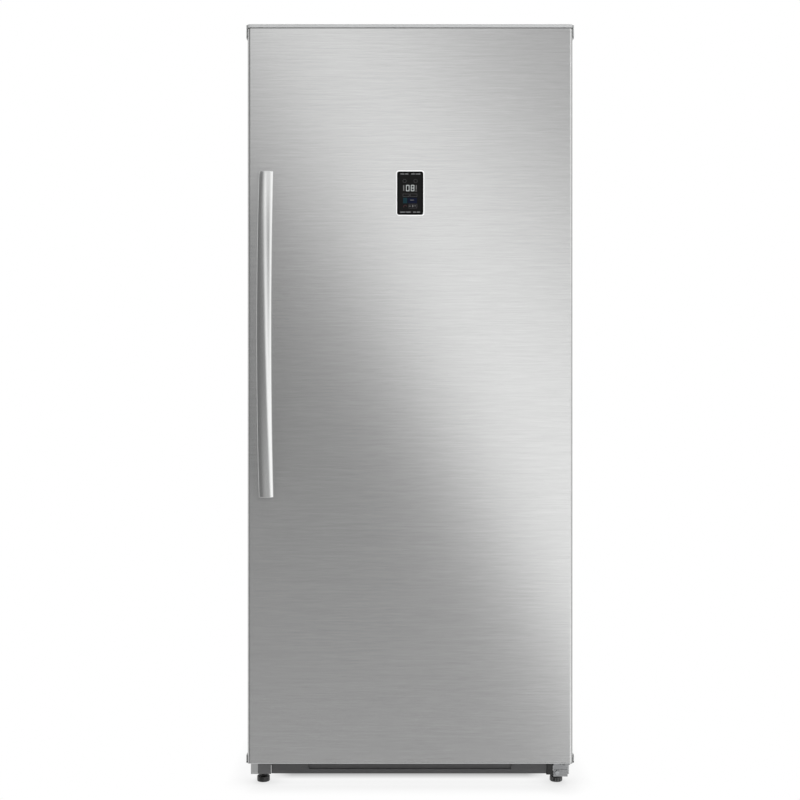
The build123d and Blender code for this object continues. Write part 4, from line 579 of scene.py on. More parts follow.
# The right foot's ribs in a lighter copy of its black plastic: a painted highlight on the ribs.
RIB_HIGHLIGHT = Moulded("foot_rib_highlight", "black_plastic", (0.11, 0.11, 0.11), 0.36)
RAIL_PAINT = Painted("kick_rail_paint", "dark_paint", (0.105, 0.105, 0.107), 0.42)
BRACKET_PAINT = Painted("bracket_paint", "dark_paint", (0.150, 0.150, 0.152), 0.50)
HINGE_ZINC = Zinc("hinge_zinc", "zinc_steel", (0.34, 0.345, 0.35), 0.42, 0.8)
CABINET_PAINT = Painted("cabinet_paint", "cabinet_paint", (0.47, 0.475, 0.475), 0.42)
ZINC = Zinc("zinc_sheet", "zinc_steel", (0.48, 0.49, 0.50), 0.38, 0.9)
FASTENER = Zinc("fastener_zinc", "fastener_steel", (0.42, 0.43, 0.44), 0.34, 1.0)
COMPRESSOR_PAINT = Painted("compressor_paint", "compressor_paint", (0.012, 0.012, 0.013), 0.35)
LINER = Moulded("white_liner", "white_liner", (0.80, 0.815, 0.815), 0.30, 0.0, 2.0, 0.03)
TRIM = Moulded("shelf_trim", "trim_plastic", (0.78, 0.795, 0.80), 0.28, 0.0, 1.5, 0.03)
CLEAR_PLASTIC = Clear("clear_plastic", "clear_plastic", (0.86, 0.90, 0.92), 0.18, 0.0, 0.62)
SHELF_GLASS = Clear("shelf_glass", "shelf_glass", (0.62, 0.80, 0.74), 0.04, 0.0, 0.80, 1.52)
PANEL_GLASS = PanelGlass("panel_glass", "panel_glass", (0.002, 0.002, 0.002), 0.12)
PANEL_FIELD = PanelGlass("panel_field", "panel_glass", (0.0088, 0.0088, 0.0088), 0.25)
PRINT = PanelGlass("panel_print", "panel_glass", (0.24, 0.245, 0.25), 0.4)
FAINT_PRINT = PanelGlass("panel_faint_print", "panel_glass", (0.085, 0.085, 0.09), 0.4)
LIT_DIGITS = Glow("lit_digits", "panel_glass", (0.54, 0.57, 0.57), 0.4)
LIT_DIM = Glow("lit_dim", "panel_glass", (0.15, 0.15, 0.15), 0.4)
LIT_BLUE = Glow("lit_blue", "panel_glass", (0.002, 0.005, 0.020), 0.4)
LIT_TEAL = Glow("lit_teal", "panel_glass", (0.006, 0.030, 0.040), 0.4)
LIT_RED = Glow("lit_red", "panel_glass", (0.075, 0.030, 0.035), 0.4)
BEZEL = Moulded("panel_bezel", "bezel_chrome", (0.95, 0.955, 0.96), 0.22, 0.3, 1.0, 0.02)
OPAL = Moulded("lamp_opal", "lamp_diffuser", (0.88, 0.88, 0.84), 0.35, 0.0, 1.2, 0.03)
GASKET = Moulded("gasket_rubber", "gasket_rubber", (0.42, 0.43, 0.43), 0.55, 0.0, 1.0, 0.05)
GROMMET = Moulded("grommet_rubber", "grommet_rubber", (0.015, 0.015, 0.015), 0.65)
ACETAL = Moulded("bush_acetal", "acetal", (0.74, 0.74, 0.70), 0.35, 0.0, 1.0, 0.03)
BOARD = Moulded("circuit_board", "board", (0.02, 0.10, 0.05), 0.35)
INSULATION = Foam("insulation", "insulation", (0.74, 0.62, 0.34), 0.85)
COPPER = Zinc("copper_tube", "copper", (0.72, 0.36, 0.24), 0.30, 1.0)
STEEL_TUBE = Zinc("steel_tube", "steel_tube", (0.36, 0.37, 0.38), 0.35, 1.0)
COIL = Zinc("coil_aluminium", "coil_aluminium", (0.66, 0.67, 0.68), 0.28, 1.0)


# ---------------------------------------------------------------------------------------- meshes
class Axis(Enum):
    """Direction that a prism runs along or a turned solid turns about."""

    X = "X"
    Y = "Y"
    Z = "Z"

    def point(self, u: float, v: float, along: float) -> Point:
        """The point at two coordinates across the axis and one along it."""
        return {"X": (along, u, v), "Y": (u, along, v), "Z": (u, v, along)}[self.value]


def fresh(name: str, mesh: bpy.types.Mesh) -> bpy.types.Object:
    """Links a new object that shows a mesh.

    Args:
        name: The object's name.
        mesh: Its mesh.

    Returns:
        The object.
    """
    piece = bpy.data.objects.new(name, mesh)
    bpy.context.scene.collection.objects.link(piece)
    return piece


def finished(name: str, work: bmesh.types.BMesh) -> bpy.types.Object:
    """Turns a working mesh into a new object.

    Args:
        name: The object's name.
        work: The working mesh, which is freed.

    Returns:
        The object.
    """
    mesh = bpy.data.meshes.new(name)
    work.to_mesh(mesh)
    work.free()
    return fresh(name, mesh)


def baked(piece: bpy.types.Object) -> bpy.types.Object:
    """Turns a piece and its modifiers into one plain mesh.

    Args:
        piece: The piece.

    Returns:
        The same piece, without modifiers.
    """
    bpy.context.view_layer.update()
    graph = bpy.context.evaluated_depsgraph_get()
    mesh = bpy.data.meshes.new_from_object(piece.evaluated_get(graph), depsgraph=graph)
    piece.modifiers.clear()
    piece.data = mesh
    return piece


def smooth(piece: bpy.types.Object, degrees: float = 35.0) -> None:
    """Shades a mesh smooth, with flat faces kept flat.

    Args:
        piece: The mesh object.
        degrees: Edges that turn more than this stay sharp.
    """
    mesh = piece.data
    mesh.polygons.foreach_set("use_smooth", [True] * len(mesh.polygons))
    mesh.set_sharp_from_angle(angle=math.radians(degrees))
    weighted = piece.modifiers.new("flat faces", "WEIGHTED_NORMAL")
    weighted.keep_sharp = True
    baked(piece)


def skin_area(mesh: bpy.types.Mesh) -> float:
    """Whole area of a mesh's faces."""
    return sum(face.area for face in mesh.polygons)


def soften(piece: bpy.types.Object, width: float, segments: int = 2, degrees: float = 40.0) -> None:
    """Rounds a piece's edges, unless that spoils its faces.

    Args:
        piece: The mesh object.
        width: Width of the rounding.
        segments: Faces across the rounding.
        degrees: Edges that turn more than this are rounded.
    """
    largest_change = 0.06
    sharp, before = piece.data, skin_area(piece.data)
    bevel = piece.modifiers.new("softened edges", "BEVEL")
    bevel.width = width
    bevel.segments = segments
    bevel.limit_method = "ANGLE"
    bevel.angle_limit = math.radians(degrees)
    bevel.use_clamp_overlap = True
    bevel.miter_outer = "MITER_ARC"
    baked(piece)
    if abs(skin_area(piece.data) / before - 1.0) > largest_change:
        LOG.warning("%s keeps its sharp edges", piece.name)
        piece.data = sharp


def from_node(node: str, name: str) -> bpy.types.Object:
    """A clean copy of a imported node's mesh, with its triangles merged into flat faces.

    Args:
        node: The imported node.
        name: The new object's name.

    Returns:
        The new object.
    """
    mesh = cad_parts[node].data.copy()
    mesh.materials.clear()
    work = bmesh.new()
    work.from_mesh(mesh)
    bmesh.ops.remove_doubles(work, verts=work.verts, dist=MERGE)
    bmesh.ops.join_triangles(
        work, faces=work.faces, angle_face_threshold=0.005, angle_shape_threshold=0.7
    )
    work.to_mesh(mesh)
    work.free()
    if mesh.attributes.get("custom_normal"):
        mesh.attributes.remove(mesh.attributes["custom_normal"])
    return fresh(name, mesh)


def shell(name: str, loops: Sequence[Sequence[Point]], closed: bool = True) -> bpy.types.Object:
    """Skins a run of loops that all have the same number of points.

    Args:
        name: The piece's name.
        loops: The loops, in order.
        closed: Whether the last loop joins the first. Otherwise both ends get a face.

    Returns:
        The object, with faces outwards.
    """
    work = bmesh.new()
    rows = [[work.verts.new(point) for point in loop] for loop in loops]
    pairs = list(zip(rows, rows[1:])) + ([(rows[-1], rows[0])] if closed else [])
    for first, second in pairs:
        for i in range(len(first)):
            j = (i + 1) % len(first)
            work.faces.new((first[i], first[j], second[j], second[i]))
    if not closed:
        work.faces.new(rows[0])
        work.faces.new(rows[-1])
    bmesh.ops.remove_doubles(work, verts=work.verts, dist=MERGE)
    bmesh.ops.recalc_face_normals(work, faces=work.faces)
    return finished(name, work)


def prism(
    name: str, outline: Outline, start: float, end: float, axis: Axis = Axis.Z
) -> bpy.types.Object:
    """A closed prism.

    Args:
        name: The piece's name.
        outline: Corners of its section, in order.
        start: Where it starts along the axis.
        end: Where it ends.
        axis: Direction that it runs along.

    Returns:
        The object, with faces outwards.
    """
    loops = [[axis.point(u, v, along) for u, v in outline] for along in (start, end)]
    return shell(name, loops, closed=False)


def lathe(
    name: str, profile: Outline, centre: Point, axis: Axis = Axis.Z, sides: int = 64
) -> bpy.types.Object:
    """A solid of revolution.

    Args:
        name: The piece's name.
        profile: Radius and distance along the axis of each ring, from one end to the other.
        centre: A point on the axis, from which the distances are taken.
        axis: The axis that it turns about.
        sides: Faces round it.

    Returns:
        The object, with faces outwards.
    """
    angles = [2 * math.pi * i / sides for i in range(sides)]
    loops = []
    for radius, along in profile:
        ring = [axis.point(radius * math.cos(a), radius * math.sin(a), along) for a in angles]
        loops.append([tuple(a + b for a, b in zip(centre, offset)) for offset in ring])
    return shell(name, loops, closed=False)


def quarter(x: float, y: float, radius: float, start: float, steps: int) -> Outline:
    """Points along a quarter of a circle.

    Args:
        x: Its centre's first coordinate.
        y: Its centre's second coordinate.
        radius: Its radius.
        start: Where it starts, in degrees.
        steps: Runs along it.

    Returns:
        The points.
    """
    angles = [math.radians(start + 90.0 * i / steps) for i in range(steps + 1)]
    return [(x + radius * math.cos(a), y + radius * math.sin(a)) for a in angles]


def rounded(x0: float, x1: float, z0: float, z1: float, radius: float, steps: int = 6) -> Outline:
    """Corners of a rectangle with rounded corners, counter-clockwise.

    Args:
        x0: Its left side.
        x1: Its right side.
        z0: Its lower side.
        z1: Its upper side.
        radius: Radius of its corners.
        steps: Runs in each corner.

    Returns:
        The corners.
    """
    left, right, low, high = x0 + radius, x1 - radius, z0 + radius, z1 - radius
    centres = ((right, high), (left, high), (left, low), (right, low))
    points: Outline = []
    for turn, (x, z) in enumerate(centres):
        points += quarter(x, z, radius, 90.0 * turn, steps)
    return points


def join(name: str, parts: Iterable[bpy.types.Object]) -> bpy.types.Object:
    """Joins meshes into one object.

    Args:
        name: The new object's name.
        parts: The objects to join, which are removed.

    Returns:
        The new object.
    """
    work = bmesh.new()
    for part in parts:
        work.from_mesh(part.data)
        bpy.data.objects.remove(part)
    return finished(name, work)


def dress(
    piece: bpy.types.Object, finish: Finish, body: str, stands_for: Sequence[str] = ()
) -> None:
    """Gives a piece its finish and its body, and hides what it stands for.

    Args:
        piece: The piece.
        finish: Its finish.
        body: The body that it moves with.
        stands_for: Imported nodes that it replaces.
    """
    piece.data.materials.clear()
    piece.data.materials.append(finish.material())
    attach(piece, body)
    if stands_for:
        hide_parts(*stands_for)
    LOG.info("%s rides on %s", piece.name, body)


def refined(
    node: str, finish: Finish, body: str, rounding: float = 0.6 * MM, segments: int = 2
) -> None:
    """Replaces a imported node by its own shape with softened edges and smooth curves.

    Args:
        node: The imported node.
        finish: Its finish.
        body: The body that it moves with.
        rounding: Width of the softened edges. Nought leaves them sharp.
        segments: Faces across them.
    """
    piece = from_node(node, f"{node}_shown")
    if rounding > 0:
        soften(piece, rounding, segments)
    smooth(piece)
    dress(piece, finish, body, [node])


def repaint(finishes: Mapping[str, Finish]) -> None:
    """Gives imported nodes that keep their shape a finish.

    Args:
        finishes: Each node's finish.
    """
    for node, finish in finishes.items():
        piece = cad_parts[node]
        piece.data.materials.clear()
        piece.data.materials.append(finish.material())
        LOG.info("%s keeps its packed shape", node)


# ------------------------------------------------------------------------------- geometry nodes
class Recipe(Tree):
    """A Geometry Nodes tree under construction, with named inputs for its sizes."""

    def __init__(self, name: str) -> None:
        """Starts an empty tree with one geometry output.

        Args:
            name: The tree's name.
        """
        super().__init__(bpy.data.node_groups.new(name, "GeometryNodeTree"))
        face = self.tree.interface
        face.new_socket("Geometry", in_out="OUTPUT", socket_type="NodeSocketGeometry")
        self.source = self.tree.nodes.new("NodeGroupInput")
        self.identifiers: dict[str, str] = {}

    def size(self, name: str, kind: str = "NodeSocketFloat") -> bpy.types.NodeSocket:
        """Adds a named input.

        Args:
            name: The input's name.
            kind: Its socket type.

        Returns:
            Its socket inside the tree.
        """
        item = self.tree.interface.new_socket(name, in_out="INPUT", socket_type=kind)
        self.identifiers[name] = item.identifier
        return self.source.outputs[name]

    def shape(self, name: str) -> bpy.types.NodeSocket:
        """Adds a named input that takes an object, and gives the object's geometry."""
        source = self.size(name, "NodeSocketObject")
        return self.add("GeometryNodeObjectInfo", {}, {"Object": source}).outputs["Geometry"]

    def finish(self, geometry: bpy.types.NodeSocket, finish: Finish) -> None:
        """Ends the tree with real geometry.

        Args:
            geometry: What the tree makes.
            finish: Its finish.
        """
        real = self.add("GeometryNodeRealizeInstances", {}, {0: geometry}).outputs[0]
        inputs = {"Geometry": real, "Material": finish.material()}
        painted = self.add("GeometryNodeSetMaterial", {}, inputs).outputs[0]
        self.add("NodeGroupOutput", {}, {0: painted})

    def run(self, name: str, sizes: Mapping[str, Any]) -> bpy.types.Object:
        """Runs the tree.

        Args:
            name: The new piece's name.
            sizes: A value for each named input.

        Returns:
            The piece, a plain mesh object.
        """
        piece = fresh(name, bpy.data.meshes.new(name))
        modifier = piece.modifiers.new(name, "NODES")
        modifier.node_group = self.tree
        for key, value in sizes.items():
            modifier[self.identifiers[key]] = value
        return baked(piece)


# ------------------------------------------------------------------------------------ the studio
def sheet(name: str, corners: Sequence[Point]) -> tuple[bpy.types.Object, Graph]:
    """A flat sheet of the studio.

    Args:
        name: Its name.
        corners: Its corners, in order.

    Returns:
        The sheet, and its material's empty node tree.
    """
    work = bmesh.new()
    work.faces.new([work.verts.new(corner) for corner in corners])
    piece = finished(name, work)
    material = bpy.data.materials.new(name)
    material.use_nodes = True
    piece.data.materials.append(material)
    return piece, Graph(material.node_tree)


@dataclass
class Reflector:
    """A lit wall behind the camera, which the door's steel mirrors as a soft slanting band.

    A ramp is a height or a place along X where it starts, its length, and an amount.

    Attributes:
        depth: The wall's place along Y.
        half: Half its width.
        low: Its lower edge.
        high: Its upper edge.
        base: Brightness away from the band.
        peak: What the band adds at its brightest.
        lean: How far the band moves to the left for each metre up.
        shift: Place of the band's middle at the floor.
        right: Width of its right flank at the floor, what that loses for each metre up, and
            the least that is left.
        left: Width of its left flank at the floor, what that gains for each metre up, and the
            least that it has.
        middle: Height of its brightest point.
        reach: How far up and down it fades.
        lifts: Ramps over the height that add light above and below.
        far_left: Ramp to the dim left end, with its brightness.
        far_right: Ramp to the bright right end, with its brightness.
        beyond: Ramp over which the right end fades again, with what it loses.
    """

    depth: float = -4.939
    half: float = 18.0
    low: float = -5.0
    high: float = 8.0
    base: float = 0.302
    peak: float = 1.170
    lean: float = 0.438
    shift: float = 0.923
    right: Flank = (1.544, 0.247, 0.15)
    left: Flank = (0.218, 0.089, 0.12)
    middle: float = 0.572
    reach: float = 3.210
    lifts: tuple[Ramp, ...] = ((2.158, 2.372, 0.227), (0.671, -2.299, 0.212), (3.7, 1.0, 0.45))
    far_left: Ramp = (-1.2, -2.6, 0.22)
    far_right: Ramp = (1.5, 1.2, 1.45)
    beyond: Ramp = (4.6, 2.0, 0.95)

    def build(self) -> None:
        """Builds the wall, seen only in mirror images."""
        edges = ((-self.half, self.low), (self.half, self.low))
        edges += ((self.half, self.high), (-self.half, self.high))
        wall, graph = sheet("reflector", [(x, self.depth, z) for x, z in edges])
        inputs = {"Color": WHITE, "Strength": self.brightness(graph)}
        bright = graph.add("ShaderNodeEmission", {}, inputs)
        graph.close("ShaderNodeOutputMaterial", bright)
        wall.visible_camera = wall.visible_diffuse = wall.visible_shadow = False
        wall.visible_transmission = False

    def brightness(self, graph: Graph) -> Signal:
        """The wall's brightness at each place.

        Args:
            graph: The wall's node tree.

        Returns:
            The brightness.
        """
        where = graph.where()
        x, z = where["X"], where["Z"]
        across = x + z * self.lean - self.shift
        width, change, least = self.right
        right = across.maximum(0.0) / (width - z * change).maximum(least)
        width, change, least = self.left
        left = across.minimum(0.0) / (width + z * change).maximum(least)
        band = (-0.5 * (left * left + right * right)).exp()
        level = (z - self.middle) / self.reach
        glow = self.base + band * (-0.5 * (level * level)).exp() * self.peak
        for start, length, amount in self.lifts:
            glow = glow + z.ramp(start, length) * amount
        start, length, amount = self.far_left
        glow = glow + x.ramp(start, length) * (amount - glow)
        start, length, loss = self.beyond
        fade = x.ramp(start, length) * loss
        start, length, amount = self.far_right
        return glow + x.ramp(start, length) * (amount - fade - glow)


@dataclass
class Studio:
    """Floor, backdrop, lamps and camera.

    Attributes:
        eye: The camera's place. It looks straight along +Y.
        lens: Focal length in millimetres.
        sensor: Width of the camera's sensor in millimetres.
        aim: Point that the lamps shine at.
        ambient: Strength of the light from all round.
        half: Half the floor's side.
        contact: Distance within which the object darkens the floor, and the darkest tone.
        under_side: Half the width of the dark floor under the cabinet, and its soft edge, which
            is negative where the floor gets lighter along the axis.
        under_front: Where the dark floor starts along Y, and its soft edge.
        under_back: Where it ends along Y, and its soft edge.
        under_dark: Its tone.
    """

    eye: Point = (-0.0254, -3.439, 0.9886)
    lens: float = 55.7
    sensor: float = 36.0
    aim: Point = (0.0, 0.0, 0.95)
    ambient: float = 0.62
    half: float = 14.0
    contact: tuple[float, float] = (0.08, 0.62)
    under_side: tuple[float, float] = (0.37, -0.06)
    under_front: tuple[float, float] = (-0.21, 0.08)
    under_back: tuple[float, float] = (0.37, -0.06)
    under_dark: float = 0.03

    def build(self) -> None:
        """Builds the studio."""
        self.camera()
        self.world()
        self.floor()
        Reflector().build()
        self.lamp("key_lamp", (2.4, -3.2, 3.4), size=1.8, power=95.0)
        self.lamp("fill_lamp", (-2.8, -3.0, 1.6), size=2.4, power=26.0)
        bpy.context.scene.view_settings.view_transform = "Standard"

    def camera(self) -> None:
        """Sets the camera at the photograph's place."""
        data = bpy.data.cameras.new("camera")
        data.lens = self.lens
        data.sensor_width = self.sensor
        camera = bpy.data.objects.new("camera", data)
        camera.location = self.eye
        camera.rotation_euler = (math.radians(90.0), 0.0, 0.0)
        bpy.context.scene.collection.objects.link(camera)
        bpy.context.scene.camera = camera

    @staticmethod
    def seen(graph: Graph) -> Signal:
        """Tells the rays that show the background: from the camera, mirrored or through glass.

        Args:
            graph: The node tree that asks.

        Returns:
            One for those rays, nought for others.
        """
        path = graph.add("ShaderNodeLightPath")
        seen = graph.number(path, "Is Camera Ray").maximum(graph.number(path, "Is Glossy Ray"))
        return seen.maximum(graph.number(path, "Is Transmission Ray"))

    def world(self) -> None:
        """White where it is seen, a plain soft light elsewhere."""
        world = bpy.data.worlds.new("studio")
        bpy.context.scene.world = world
        world.use_nodes = True
        graph = Graph(world.node_tree)
        inputs = {"Color": WHITE, "Strength": self.seen(graph).spread(self.ambient, 1.0)}
        graph.close("ShaderNodeOutputWorld", graph.add("ShaderNodeBackground", {}, inputs))

    def floor(self) -> None:
        """A pale floor that is white where it is seen, with shadow near and under the object."""
        half = self.half
        corners = ((-half, -half), (half, -half), (half, half), (-half, half))
        floor, graph = sheet("floor", [(x, y, 0.0) for x, y in corners])
        where = graph.where()
        x, y = where["X"], where["Y"]
        under = x.maximum(-x).ramp(*self.under_side) * y.ramp(*self.under_front)
        under = under * y.ramp(*self.under_back)
        distance, tone = self.contact
        near = graph.enclosure(distance, samples=8).spread(tone, 1.0)
        shadow = near * under.spread(1.0, self.under_dark)
        white = graph.blend(shadow, (0.0, 0.0, 0.0), WHITE)
        plain = graph.add("ShaderNodeBsdfDiffuse", {}, {"Color": (0.80, 0.80, 0.80)})
        bright = graph.add("ShaderNodeEmission", {}, {"Color": white, "Strength": 1.0})
        inputs = {0: self.seen(graph), 1: plain.outputs[0], 2: bright.outputs[0]}
        mixed = graph.add("ShaderNodeMixShader", {}, inputs)
        graph.close("ShaderNodeOutputMaterial", mixed)
        floor.visible_glossy = False

    def lamp(self, name: str, place: Point, size: float, power: float) -> None:
        """A soft square lamp that casts no mirror image.

        Args:
            name: The lamp's name.
            place: Where it stands.
            size: Its side.
            power: Its power in watts.
        """
        data = bpy.data.lights.new(name, "AREA")
        data.size = size
        data.energy = power
        lamp = bpy.data.objects.new(name, data)
        lamp.location = place
        aim = Vector(self.aim) - Vector(place)
        lamp.rotation_euler = aim.to_track_quat("-Z", "Y").to_euler()
        lamp.visible_glossy = False
        bpy.context.scene.collection.objects.link(lamp)


# -------------------------------------------------------------------------------------- the door
@dataclass
class Door:
    """The door: skin, caps, handle, inner liner, gasket and bins.

    Attributes:
        bend: Radius of the skin's front corners.
        tight: Radius of the folds at its back edges.
        sheet: Thickness of the skin.
        hem: Width of the folds behind the door's edges.
        groove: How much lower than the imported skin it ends, under the top cap.
        window_gap: Room round the panel's glass in the cut-out.
        window_corner: Radius of the cut-out's corners.
        rise: Height of the handle's arch.
        crown: Height of the crown of its front.
        thick: Thickness of the bar.
        chamfer: Its back edges.
        bins: Number of door bins.
    """

    bend: float = 8.0 * MM
    tight: float = 1.5 * MM
    sheet: float = 1.0 * MM
    hem: float = 12.0 * MM
    groove: float = 0.9 * MM
    window_gap: float = 1.0 * MM
    window_corner: float = 6.0 * MM
    rise: float = 50.0 * MM
    crown: float = 4.0 * MM
    thick: float = 10.0 * MM
    chamfer: float = 1.2 * MM
    bins: int = 5

    def build(self) -> None:
        """Builds and dresses the door's own pieces."""
        self.skin()
        self.handle()
        for node, finish, rounding, segments in (
            ("door_top_cap", GREY_PLASTIC, 0.8, 3),
            ("door_bottom_cap", GREY_PLASTIC, 0.8, 3),
            ("handle_mounts", GREY_PLASTIC, 1.0, 3),
            ("door_liner", LINER, 1.2, 3),
            ("door_gasket", GASKET, 0.8, 2),
            ("hinge_bushes", ACETAL, 0.5, 2),
        ):
            refined(node, finish, "door", rounding * MM, segments)
        repaint(
            {"door_foam": INSULATION, "display_housing": BLACK_PLASTIC, "display_board": BOARD}
        )
        for number in range(1, self.bins + 1):
            refined(f"door_bin_{number}", CLEAR_PLASTIC, f"bin_{number}", 1.0 * MM, 3)

    def skin(self) -> None:
        """The folded steel skin, with true round bends and the panel's cut-out."""
        low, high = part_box("door_skin")
        outline = self._fold(0.0) + self._fold(self.sheet)[::-1]
        skin = prism("door_skin_shown", outline, low.z, high.z - self.groove)
        near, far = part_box("panel_lens")
        gap, cut_depth = self.window_gap, 0.01
        window = rounded(
            near.x - gap, far.x + gap, near.z - gap, far.z + gap, self.window_corner
        )
        cutter = prism("cutter", window, low.y - cut_depth, low.y + cut_depth, Axis.Y)
        cut = skin.modifiers.new("panel cut-out", "BOOLEAN")
        cut.operation = "DIFFERENCE"
        cut.solver = "EXACT"
        cut.object = cutter
        baked(skin)
        bpy.data.objects.remove(cutter)
        smooth(skin, 25.0)
        dress(skin, STEEL, "door", ["door_skin"])

    def _fold(self, inset: float) -> Outline:
        """One face of the skin's section: hem, side, front, side, hem.

        Args:
            inset: How far it lies inside the skin's outer face.

        Returns:
            Its corners.
        """
        low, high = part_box("door_skin")
        x0, x1, y0, y1 = low.x + inset, high.x - inset, low.y + inset, high.y - inset
        bend, tight, hem = self.bend - inset, self.tight - inset, self.hem - inset
        points = [(x0 + hem, y1)]
        points += quarter(x0 + tight, y1 - tight, tight, 90.0, 10)
        points += quarter(x0 + bend, y0 + bend, bend, 180.0, 10)
        points += quarter(x1 - bend, y0 + bend, bend, 270.0, 10)
        points += quarter(x1 - tight, y1 - tight, tight, 0.0, 10)
        return points + [(x1 - hem, y1)]

    def handle(self) -> None:
        """The arched bar: a crowned section carried along an arc, cut square at its ends."""
        low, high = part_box("handle_bar")
        chord = high.z - low.z
        radius = (chord * chord / 4 + self.rise * self.rise) / (2 * self.rise)
        half_angle = math.asin(chord / 2 / radius)
        recipe = Recipe("arched handle")
        path = {
            "Resolution": recipe.size("Steps", "NodeSocketInt"),
            "Radius": recipe.size("Arc radius"),
            "Sweep Angle": recipe.size("Angle"),
            "Start Angle": 0.0,
        }
        arc = recipe.add("GeometryNodeCurveArc", {"mode": "RADIUS"}, path).outputs[0]
        sweep = {"Curve": arc, "Profile Curve": recipe.shape("Section"), "Fill Caps": True}
        bar = recipe.add("GeometryNodeCurveToMesh", {}, sweep)
        recipe.finish(bar.outputs[0], HANDLE_STEEL)
        guide = self._section(high.x - low.x)
        sizes = {"Angle": 2 * half_angle, "Arc radius": radius, "Steps": 97, "Section": guide}
        bar = recipe.run("handle_bar_shown", sizes)
        bpy.data.objects.remove(guide)
        self._stand(bar, half_angle, low, high)
        soften(bar, 1.0 * MM, 2, 60.0)
        smooth(bar, 40.0)
        dress(bar, HANDLE_STEEL, "door", ["handle_bar"])
        bar.visible_glossy = False

    def _section(self, width: float, steps: int = 24) -> bpy.types.Object:
        """Section of the bar: crowned front, flat back, small corners.

        Args:
            width: The bar's width.
            steps: Runs across its front.

        Returns:
            A closed curve.
        """
        half, crown, thick, chamfer = width / 2, self.crown, self.thick, self.chamfer
        radius = (half * half + crown * crown) / (2 * crown)
        points = []
        for i in range(steps + 1):
            u = -half + 2 * half * i / steps
            points.append((u, radius - math.sqrt(radius * radius - u * u)))
        points += [(half, thick - chamfer), (half - chamfer, thick)]
        points += [(-half + chamfer, thick), (-half, thick - chamfer)]
        curve = bpy.data.curves.new("handle_section", "CURVE")
        curve.dimensions = "3D"
        spline = curve.splines.new("POLY")
        spline.points.add(len(points) - 1)
        for point, (u, v) in zip(spline.points, points):
            point.co = (-v, u, 0.0, 1.0)
        spline.use_cyclic_u = True
        guide = bpy.data.objects.new("handle_section", curve)
        bpy.context.scene.collection.objects.link(guide)
        return guide

    @staticmethod
    def _stand(bar: bpy.types.Object, half_angle: float, low: Vector, high: Vector) -> None:
        """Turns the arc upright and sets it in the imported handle's box.

        Args:
            bar: The bar, with its arc lying flat.
            half_angle: Half the angle that the arc turns through.
            low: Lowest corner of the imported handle's box.
            high: Its highest corner.
        """
        mesh = bar.data
        mesh.transform(Matrix.Rotation(-half_angle, 4, "Z"))
        work = bmesh.new()
        work.from_mesh(mesh)
        for vertex in work.verts:
            x, y, z = vertex.co
            vertex.co = (z, -x, y)
        bmesh.ops.remove_doubles(work, verts=work.verts, dist=MERGE)
        bmesh.ops.recalc_face_normals(work, faces=work.faces)
        lowest = Vector([min(v.co[i] for v in work.verts) for i in range(3)])
        highest = Vector([max(v.co[i] for v in work.verts) for i in range(3)])
        across = (low.x + high.x) / 2 - (lowest.x + highest.x) / 2
        up = (low.z + high.z) / 2 - (lowest.z + highest.z) / 2
        shift = Vector((across, low.y - lowest.y, up))
        bmesh.ops.translate(work, verts=work.verts, vec=shift)
        work.to_mesh(mesh)
        work.free()


# ----------------------------------------------------------------------------- the control panel
def bar(x0: float, x1: float, z0: float, z1: float) -> Outline:
    """Corners of a small bar."""
    return [(x0, z0), (x1, z0), (x1, z1), (x0, z1)]


def bars(*sides: tuple[float, float, float, float]) -> list[Outline]:
    """Several small bars, each from its left, right, lower and upper side."""
    return [bar(*four) for four in sides]


def box_outline(x0: float, x1: float, z0: float, z1: float, line: float = 0.6) -> list[Outline]:
    """Four bars that outline a box.

    Args:
        x0: Its left side.
        x1: Its right side.
        z0: Its lower side.
        z1: Its upper side.
        line: Width of the bars.

    Returns:
        The bars' outlines.
    """
    return bars(
        (x0, x1, z0, z0 + line),
        (x0, x1, z1 - line, z1),
        (x0, x0 + line, z0 + line, z1 - line),
        (x1 - line, x1, z0 + line, z1 - line),
    )


def ring(x: float, z: float, radius: float, line: float, runs: int = 12) -> list[Outline]:
    """Short quads that make a ring, or a part of one.

    Args:
        x: Its centre's place across.
        z: Its centre's height.
        radius: Its outer radius.
        line: Its width.
        runs: How many of the twelve quads it has.

    Returns:
        The quads.
    """
    quads = []
    for i in range(runs):
        a, b = math.radians(30.0 * i), math.radians(30.0 * (i + 1))
        corners = ((radius - line, a), (radius, a), (radius, b), (radius - line, b))
        quads.append([(x + r * math.cos(t), z + r * math.sin(t)) for r, t in corners])
    return quads


class Digit(Enum):
    """A digit of the display, by the segments that are lit."""

    NOUGHT = "abcdef"
    EIGHT = "abcdefg"


